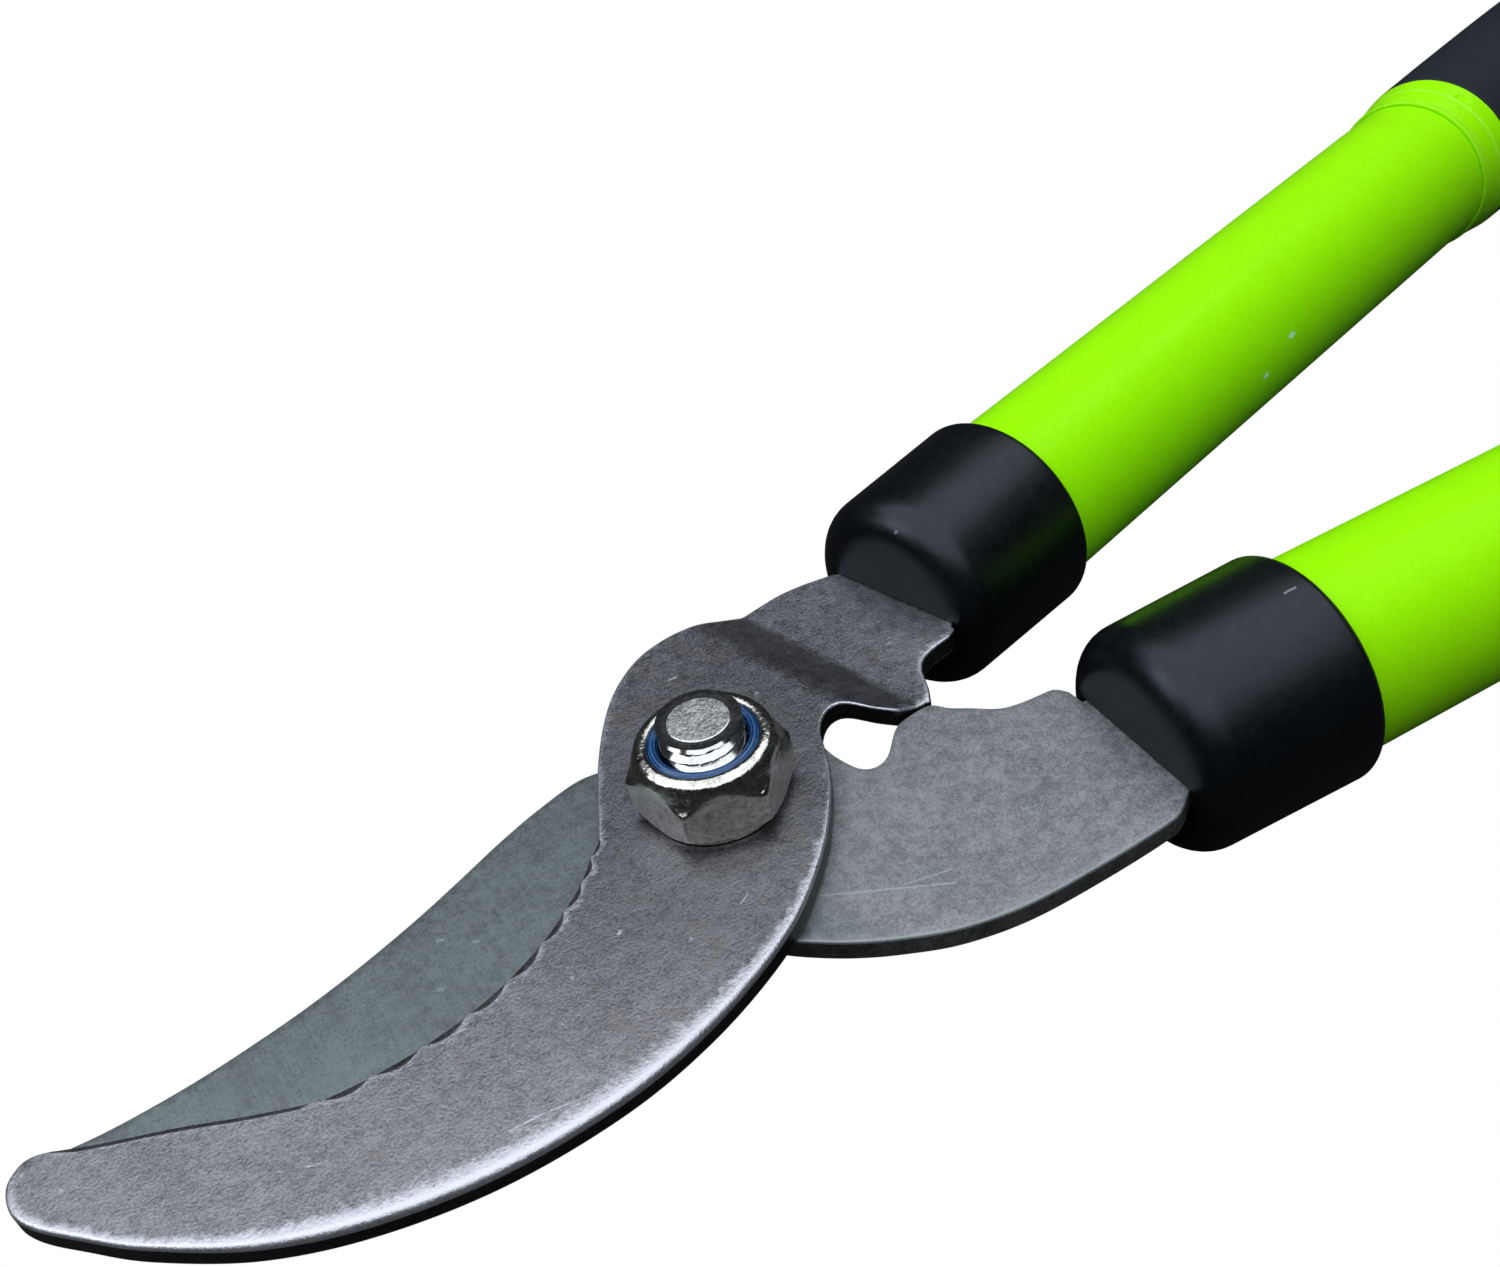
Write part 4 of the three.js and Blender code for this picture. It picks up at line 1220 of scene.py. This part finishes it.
def stage_lamp(name, place, size, power, colour):
    """A soft square lamp, aimed at the pivot."""
    data = bpy.data.lights.new(name, "AREA")
    data.size = size
    data.energy = power
    data.color = colour
    lamp = bpy.data.objects.new(name, data)
    lamp.location = place
    lamp.rotation_euler = (-Vector(place)).to_track_quat("-Z", "Y").to_euler()
    lamp.visible_camera = False
    bpy.context.scene.collection.objects.link(lamp)
    return lamp


def stage_camera():
    """The camera above the cutting side, rolled a little."""
    data = bpy.data.cameras.new("camera")
    data.lens = CAMERA_LENS
    data.shift_x = CAMERA_SHIFT
    data.clip_start = 0.01
    camera = bpy.data.objects.new("camera", data)
    place, target = Vector(CAMERA_PLACE) * MM, Vector(CAMERA_TARGET) * MM
    level = (target - place).to_track_quat("-Z", "Y").to_matrix().to_4x4()
    roll = Matrix.Rotation(math.radians(CAMERA_ROLL), 4, "Z")
    camera.matrix_world = Matrix.Translation(place) @ level @ roll
    bpy.context.scene.collection.objects.link(camera)
    bpy.context.scene.camera = camera


class LOPPERS_OT_stage(bpy.types.Operator):
    """Makes the floor, the lamps, the surround and the camera"""

    bl_idname = "loppers.stage"
    bl_label = "Stage"

    def execute(self, context):
        settings = context.scene.loppers
        context.scene.view_settings.view_transform = "Standard"
        context.scene.view_settings.look = "None"
        stage_floor(settings.floor_size)
        stage_world()
        size, power = settings.lamp_size, settings.lamp_power
        lamp = stage_lamp("overhead", LAMP_PLACE, size, power, LAMP_COLOUR)
        # the overhead lamp hangs level instead, turned about the vertical
        lamp.rotation_euler = (0, 0, math.radians(LAMP_TURN))
        stage_lamp("side", SIDE_PLACE, SIDE_SIZE, settings.side_power, SIDE_COLOUR)
        stage_camera()
        return {"FINISHED"}


# ---------------------------------------------------------------- steel

class LOPPERS_OT_hook_blade(bpy.types.Operator):
    """Makes the hooked counter blade with its scalloped edge and joggled tang"""

    bl_idname = "loppers.hook_blade"
    bl_label = "Hook blade"

    def execute(self, context):
        x, y = on_hook(HOOK_COLLAR_S + RIVET_S, 0)
        holes = [circle(0, 0, PIVOT_HOLE_R), circle(x, y, RIVET_HOLE_R, 32)]
        low = HOOK_TOP - PLATE_T
        piece = plate("hook_blade_steel", hook_loops(), holes, HOOK_TOP, low, hook_height, FLUTE_H)
        settle(piece, "hook_blade", HOOK_SIDE, finish_of("tumbled_steel"))
        return {"FINISHED"}


class LOPPERS_OT_cutting_blade(bpy.types.Operator):
    """Makes the curved cutting blade, its edge ground back on the underside"""

    bl_idname = "loppers.cutting_blade"
    bl_label = "Cutting blade"

    def execute(self, context):
        x, y = on_blade(BLADE_COLLAR_S + RIVET_S, 0)
        holes = [circle(0, 0, PIVOT_HOLE_R), circle(x, y, RIVET_HOLE_R, 32)]
        piece = plate("cutting_blade_steel", blade_loops(), holes, BLADE_TOP, BLADE_LOW)
        settle(piece, "cutting_blade", BLADE_SIDE, finish_of("ground_steel"))
        return {"FINISHED"}


# ---------------------------------------------------------------- pivot

def hex_cut(a, r, theta):
    """Keeps a turned radius inside a hexagon with slightly rounded corners."""
    flats = np.radians(HEX_TURN + 30 + 60 * np.arange(6))
    facing = np.maximum(np.cos(theta[:, None] - flats[None]), 1e-3)
    power = float(HEX_CRISPNESS)
    hexagon = HEX_HALF * (facing**power).sum(axis=1) ** (-1 / power)
    return (np.maximum(r, 1e-6) ** -power + hexagon**-power) ** (-1 / power)


class LOPPERS_OT_pivot_bolt(bpy.types.Operator):
    """Makes the pivot bolt with its hexagon head, plain shank and threaded end"""

    bl_idname = "loppers.pivot_bolt"
    bl_label = "Pivot bolt"

    def execute(self, context):
        pitch = context.scene.loppers.thread_pitch / MM
        head = rounded([
            (0, 0, 0), (0, 7.9, 0.2), (1.35, HEX_CORNER_R, 0), (HEAD_H, HEX_CORNER_R, 0.15),
            (HEAD_H, SHANK_R, 0.3), (THREAD_START, SHANK_R, 0),
        ], closed=False, longest=0.35)
        z = np.arange(THREAD_START + 0.07, BOLT_TOP, 0.07)
        thread = np.stack([z, np.full(len(z), SHANK_R), np.zeros(len(z))], axis=1)
        tip_rings = ((BOLT_TIP_R, 1), (3.55, 0.2), (3.3, 0), (2.4, 0), (1.2, 0), (0, 0))
        tip = np.array([(BOLT_TOP, r, w) for r, w in tip_rings])

        def radius(a, r, theta):
            r = hex_cut(a, r, theta)
            phase = (a / pitch - theta / (2 * math.pi) - THREAD_PHASE) % 1
            groove = np.clip((1 - np.abs(phase - 0.5) * 2) * 1.15 - 0.1, 0, 1)
            ease = np.clip((a - THREAD_START) / pitch, 0, 1)
            on_thread = (a > THREAD_START) & (a < BOLT_TOP - 1e-6)
            threaded = np.minimum(r - THREAD_DEPTH * groove * ease, BOLT_TIP_R + (BOLT_TOP - a) * 0.95)
            return np.where(on_thread, threaded, r)

        def shift(a, r, theta):
            uneven = 0.01 * np.sin(5.1 * r * np.cos(theta) + 1.3) * np.sin(4.3 * r * np.sin(theta) + 0.4)
            return np.where(a >= BOLT_TOP - 1e-6, a - 0.035 + uneven * (r < BOLT_TIP_R - 0.1), a)

        rows = np.vstack([head, thread, tip])
        piece = turn("pivot_bolt_steel", rows, 144, upright=True, radius=radius, shift=shift, sharp_deg=42)
        low, wide = (BOLT_TOP - 0.1) * MM, (BOLT_TIP_R - 0.1) * MM
        dull = [float(v.co.z > low and v.co.xy.length < wide) for v in piece.data.vertices]
        piece.data.attributes["side"].data.foreach_set("value", dull)
        settle(piece, "pivot_bolt", HOOK_SIDE, finish_of("bolt_steel"))
        return {"FINISHED"}


class LOPPERS_OT_pivot_washer(bpy.types.Operator):
    """Makes the washer between the bolt's head and the cutting blade"""

    bl_idname = "loppers.pivot_washer"
    bl_label = "Pivot washer"

    def execute(self, context):
        rows = rounded([
            (WASHER_LOW, PIVOT_HOLE_R, 0.15), (WASHER_LOW, WASHER_R, 0.35),
            (WASHER_TOP, WASHER_R, 0.35), (WASHER_TOP, PIVOT_HOLE_R, 0.15),
        ], longest=1.5)
        piece = turn("pivot_washer_steel", rows, 96, upright=True)
        settle(piece, "pivot_washer", HOOK_SIDE, finish_of("bolt_steel"))
        return {"FINISHED"}


class LOPPERS_OT_lock_nut(bpy.types.Operator):
    """Makes the lock nut, its foot, hexagon and rolled lip, and its nylon insert"""

    bl_idname = "loppers.lock_nut"
    bl_label = "Lock nut"

    def execute(self, context):
        z = NUT_LOW
        rows = rounded([
            (z, NUT_BORE_R, 0.3), (z, NUT_FOOT_R - 0.9, 0), (z + 0.55, NUT_FOOT_R - 0.9, 0),
            (z + 0.6, 8.35, 0), (z + 2.0, HEX_CORNER_R, 0), (z + 5.4, HEX_CORNER_R, 0),
            (z + 6.3, HEX_CORNER_R - 1, 0.6), (z + 7.5, NUT_LIP_R + 0.15, 1.0),
            (z + 8.7, 7.95, 1.1), (z + NUT_H, 7.05, 0.6), (z + NUT_H - 0.15, RING_R + 0.15, 0.2),
            (z + NUT_H - 0.5, RING_R, 0.1), (z + 6.4, RING_R, 0), (z + 6.4, NUT_BORE_R, 0.1),
        ], longest=0.22)
        piece = turn("lock_nut_plated", rows, 192, upright=True, radius=hex_cut, sharp_deg=50)
        settle(piece, "lock_nut", HOOK_SIDE, finish_of("nickel_plate"))
        low, high = low_of("lock_nut_insert"), top_of("lock_nut_insert")
        rows = rounded([
            (low, NUT_BORE_R, 0.2), (low, RING_R - 0.05, 0.1), (high - 0.25, RING_R - 0.05, 0.3),
            (high, RING_R - 0.45, 0.3), (high - 0.1, NUT_BORE_R + 0.35, 0.25), (high - 0.5, NUT_BORE_R, 0.2),
        ], longest=0.5)
        ring = turn("lock_nut_insert_nylon", rows, 96, upright=True, sharp_deg=50)
        settle(ring, "lock_nut_insert", HOOK_SIDE, finish_of("blue_nylon"))
        return {"FINISHED"}


# ---------------------------------------------------------------- handles

class LOPPERS_OT_collars(bpy.types.Operator):
    """Makes the two plastic collars, slotted for the tangs"""

    bl_idname = "loppers.collars"
    bl_label = "Collars"

    def execute(self, context):
        for prefix, body in HANDLES:
            place = handle_place(prefix)
            bore = TUBE_R + BORE_GAP
            front = [(0, 0, 0), (0, COLLAR_R - COLLAR_ROUND, 0)]
            for deg in range(9, 90, 9):
                a = math.radians(deg)
                front.append((
                    COLLAR_ROUND * (1 - math.cos(a)), COLLAR_R - COLLAR_ROUND * (1 - math.sin(a)), 0,
                ))
            rear = [
                (COLLAR_ROUND, COLLAR_R, 0), (COLLAR_LENGTH - 0.7, COLLAR_REAR_R, 1.1),
                (COLLAR_LENGTH, COLLAR_REAR_R - 0.55, 0.5), (COLLAR_LENGTH, bore, 0.2),
                (COLLAR_FACE_T, bore, 0), (COLLAR_FACE_T, 0, 0),
            ]
            rows = rounded(front + rear, closed=False, longest=1.5)
            piece = turn(f"{prefix}_collar_moulded", rows, 128, place=place)
            half = PLATE_T / 2 + BORE_GAP
            low, high = (-4, SLOT_LOW[prefix] - BORE_GAP, -half), (8, TANG_HALF + BORE_GAP, half)
            cut(piece, soft_box("slot", low, high, 0.2, place))
            settle(piece, f"{prefix}_collar", body, finish_of("black_plastic"))
        return {"FINISHED"}


class LOPPERS_OT_tubes(bpy.types.Operator):
    """Makes the two painted handle tubes"""

    bl_idname = "loppers.tubes"
    bl_label = "Tubes"

    def execute(self, context):
        inner, end = TUBE_R - TUBE_WALL, CAP_S - BORE_GAP
        rows = rounded([
            (TUBE_START, inner, 0.2), (TUBE_START, TUBE_R, 0.3), (end, TUBE_R, 0.3), (end, inner, 0.2),
        ], longest=12)
        for prefix, body in HANDLES:
            place = handle_place(prefix)
            piece = turn(f"{prefix}_tube_painted", rows, 144, place=place)
            drill_rivet(piece, place)
            settle(piece, f"{prefix}_tube", body, finish_of("lime_paint"))
        return {"FINISHED"}


RIVET_MOVE = Matrix.Translation(Vector((RIVET_S, 0, 0)) * MM)


def rivet_rows(r, half, rounding=0.0):
    """The profile of a pin that lies across a handle."""
    return rounded([(-half, 0, 0), (-half, r, rounding), (half, r, rounding), (half, 0, 0)], closed=False)


def drill_rivet(piece, place):
    """Cuts the rivet's hole through a tube or a plug."""
    drill = turn("drill", rivet_rows(RIVET_HOLE_R, 20), 32, upright=True, place=place @ RIVET_MOVE)
    cut(piece, drill)


class LOPPERS_OT_tang_plugs(bpy.types.Operator):
    """Makes the plugs that centre each tang in its tube, and the rivets through them"""

    bl_idname = "loppers.tang_plugs"
    bl_label = "Tang plugs and rivets"

    def execute(self, context):
        r = TUBE_R - TUBE_WALL - BORE_GAP
        end = TANG_LENGTH + 6
        rows = rounded([(TUBE_START, 0, 0), (TUBE_START, r, 0.6), (end, r, 1.2), (end, 0, 0)], closed=False)
        for prefix, body in HANDLES:
            place = handle_place(prefix)
            plug = turn(f"{prefix}_tang_plug_moulded", rows, 96, place=place)
            half, wide = PLATE_T / 2 + BORE_GAP, TANG_HALF + BORE_GAP
            cut(plug, soft_box("slot", (-1, -wide, -half), (TANG_LENGTH + 0.5, wide, half), 0.2, place))
            drill_rivet(plug, place)
            settle(plug, f"{prefix}_tang_plug", body, finish_of("grey_plastic"))
            across = rivet_rows(RIVET_R, TUBE_R - 0.1, 0.6)
            name = f"{prefix}_tang_rivet_steel"
            rivet = turn(name, across, 32, upright=True, place=place @ RIVET_MOVE)
            settle(rivet, f"{prefix}_tang_rivet", body, finish_of("bolt_steel"))
        return {"FINISHED"}


class LOPPERS_OT_ferrules(bpy.types.Operator):
    """Makes the flared ferrule in front of each grip, with its small dimple"""

    bl_idname = "loppers.ferrules"
    bl_label = "Ferrules"

    def execute(self, context):
        bore = TUBE_R + 0.05
        rows = rounded([
            (0, bore, 0), (0, bore + 0.38, 0.18), (0.5, bore + 0.5, 0.3), (1.3, bore + 0.42, 0.4),
            (4.5, bore + 0.82, 0.8), (FERRULE_LENGTH, bore + 1.32, 0.15), (FERRULE_LENGTH, bore, 0),
        ], longest=0.3)

        def radius(a, r, theta):
            turned = (theta - math.radians(DIMPLE_DEG) + math.pi) % (2 * math.pi) - math.pi
            near = ((a - DIMPLE_S) / 0.45) ** 2 + (turned * 13.6 / 1.15) ** 2
            return r - DIMPLE_DEPTH * np.exp(-near * near) * (r > bore + 0.3)

        for prefix, body in HANDLES:
            place = handle_place(prefix) @ Matrix.Translation((FERRULE_S * MM, 0, 0))
            piece = turn(f"{prefix}_ferrule_painted", rows, 240, place=place, radius=radius)
            settle(piece, f"{prefix}_ferrule", body, finish_of("lime_paint"))
        return {"FINISHED"}


class LOPPERS_OT_grips(bpy.types.Operator):
    """Makes the rubber grips, plain in front and ringed behind"""

    bl_idname = "loppers.grips"
    bl_label = "Grips"

    def execute(self, context):
        bore = TUBE_R + 0.05
        rows = rounded([
            (0, bore, 0), (0, bore + 1.35, 0.45), (12, 14.35, 3), (32, 14.6, 5), (120, 14.6, 10),
            (170, 14.9, 10), (GRIP_LENGTH - 9, CAP_R - 0.2, 4), (GRIP_LENGTH - 3, CAP_R, 1.5),
            (GRIP_LENGTH, CAP_R - 0.2, 0.5), (GRIP_LENGTH, bore, 0),
        ], longest=0.8)
        count = context.scene.loppers.grip_rings

        def radius(a, r, theta):
            k = np.clip(np.round((a - GRIP_RING_FIRST) / GRIP_RING_STEP), 0, max(count - 1, 0))
            away = np.abs(a - GRIP_RING_FIRST - k * GRIP_RING_STEP)
            depth = GRIP_RING_DEPTH * np.clip(1 - (away / 1.5) ** 2, 0, 1) * (count > 0)
            half_turn = np.abs(np.sin(theta))
            seam = 0.06 * np.exp(-(((half_turn * 14) / 0.35) ** 2))
            return np.where(r > bore + 0.6, r - depth + seam * (r < CAP_R - 0.1), r)

        for prefix, body in HANDLES:
            place = handle_place(prefix) @ Matrix.Translation((GRIP_S * MM, 0, 0))
            piece = turn(f"{prefix}_grip_rubber", rows, 120, place=place, radius=radius)
            settle(piece, f"{prefix}_grip", body, finish_of("grip_rubber"))
        return {"FINISHED"}


class LOPPERS_OT_end_caps(bpy.types.Operator):
    """Makes the caps that close the tubes' rear ends"""

    bl_idname = "loppers.end_caps"
    bl_label = "End caps"

    def execute(self, context):
        plug = TUBE_R - TUBE_WALL - BORE_GAP
        rows = rounded([
            (-12, 0, 0), (-12, plug, 1.0), (0, plug, 0.1), (0, CAP_R, 0.4), (3.4, CAP_R, 1.0),
            (5.6, CAP_R - 1.6, 1.2), (6.8, CAP_R - 5, 0.6), (6.3, CAP_R - 6, 0.4), (6.3, CAP_R - 7.2, 0.4),
            (7.1, CAP_R - 8, 0.4), (7.2, 0, 0),
        ], closed=False, longest=1.2)
        for prefix, body in HANDLES:
            place = handle_place(prefix) @ Matrix.Translation((CAP_S * MM, 0, 0))
            piece = turn(f"{prefix}_end_cap_moulded", rows, 96, place=place)
            settle(piece, f"{prefix}_end_cap", body, finish_of("black_plastic"))
        return {"FINISHED"}


# ---------------------------------------------------------------- panel and start

STEPS = (
    LOPPERS_OT_stage, LOPPERS_OT_hook_blade, LOPPERS_OT_cutting_blade, LOPPERS_OT_pivot_bolt,
    LOPPERS_OT_pivot_washer, LOPPERS_OT_lock_nut, LOPPERS_OT_collars, LOPPERS_OT_tubes,
    LOPPERS_OT_tang_plugs, LOPPERS_OT_ferrules, LOPPERS_OT_grips, LOPPERS_OT_end_caps,
)


class LOPPERS_PT_panel(bpy.types.Panel):
    """Lists the loppers' settings and pieces"""

    bl_idname = "LOPPERS_PT_panel"
    bl_label = "Loppers"
    bl_space_type = "VIEW_3D"
    bl_region_type = "UI"
    bl_category = "Loppers"

    def draw(self, context):
        settings = context.scene.loppers
        for key in settings.bl_rna.properties.keys():
            if key not in ("rna_type", "name"):
                self.layout.prop(settings, key)
        for step in STEPS:
            self.layout.operator(step.bl_idname)


CLASSES = (LoppersSettings, *STEPS, LOPPERS_PT_panel)


def register():
    for cls in CLASSES:
        bpy.utils.register_class(cls)
    bpy.types.Scene.loppers = bpy.props.PointerProperty(type=LoppersSettings)


def unregister():
    del bpy.types.Scene.loppers
    for cls in reversed(CLASSES):
        bpy.utils.unregister_class(cls)


def main():
    register()
    for step in STEPS:
        group, name = step.bl_idname.split(".")
        getattr(getattr(bpy.ops, group), name)()


if __name__ == "__main__":
    main()
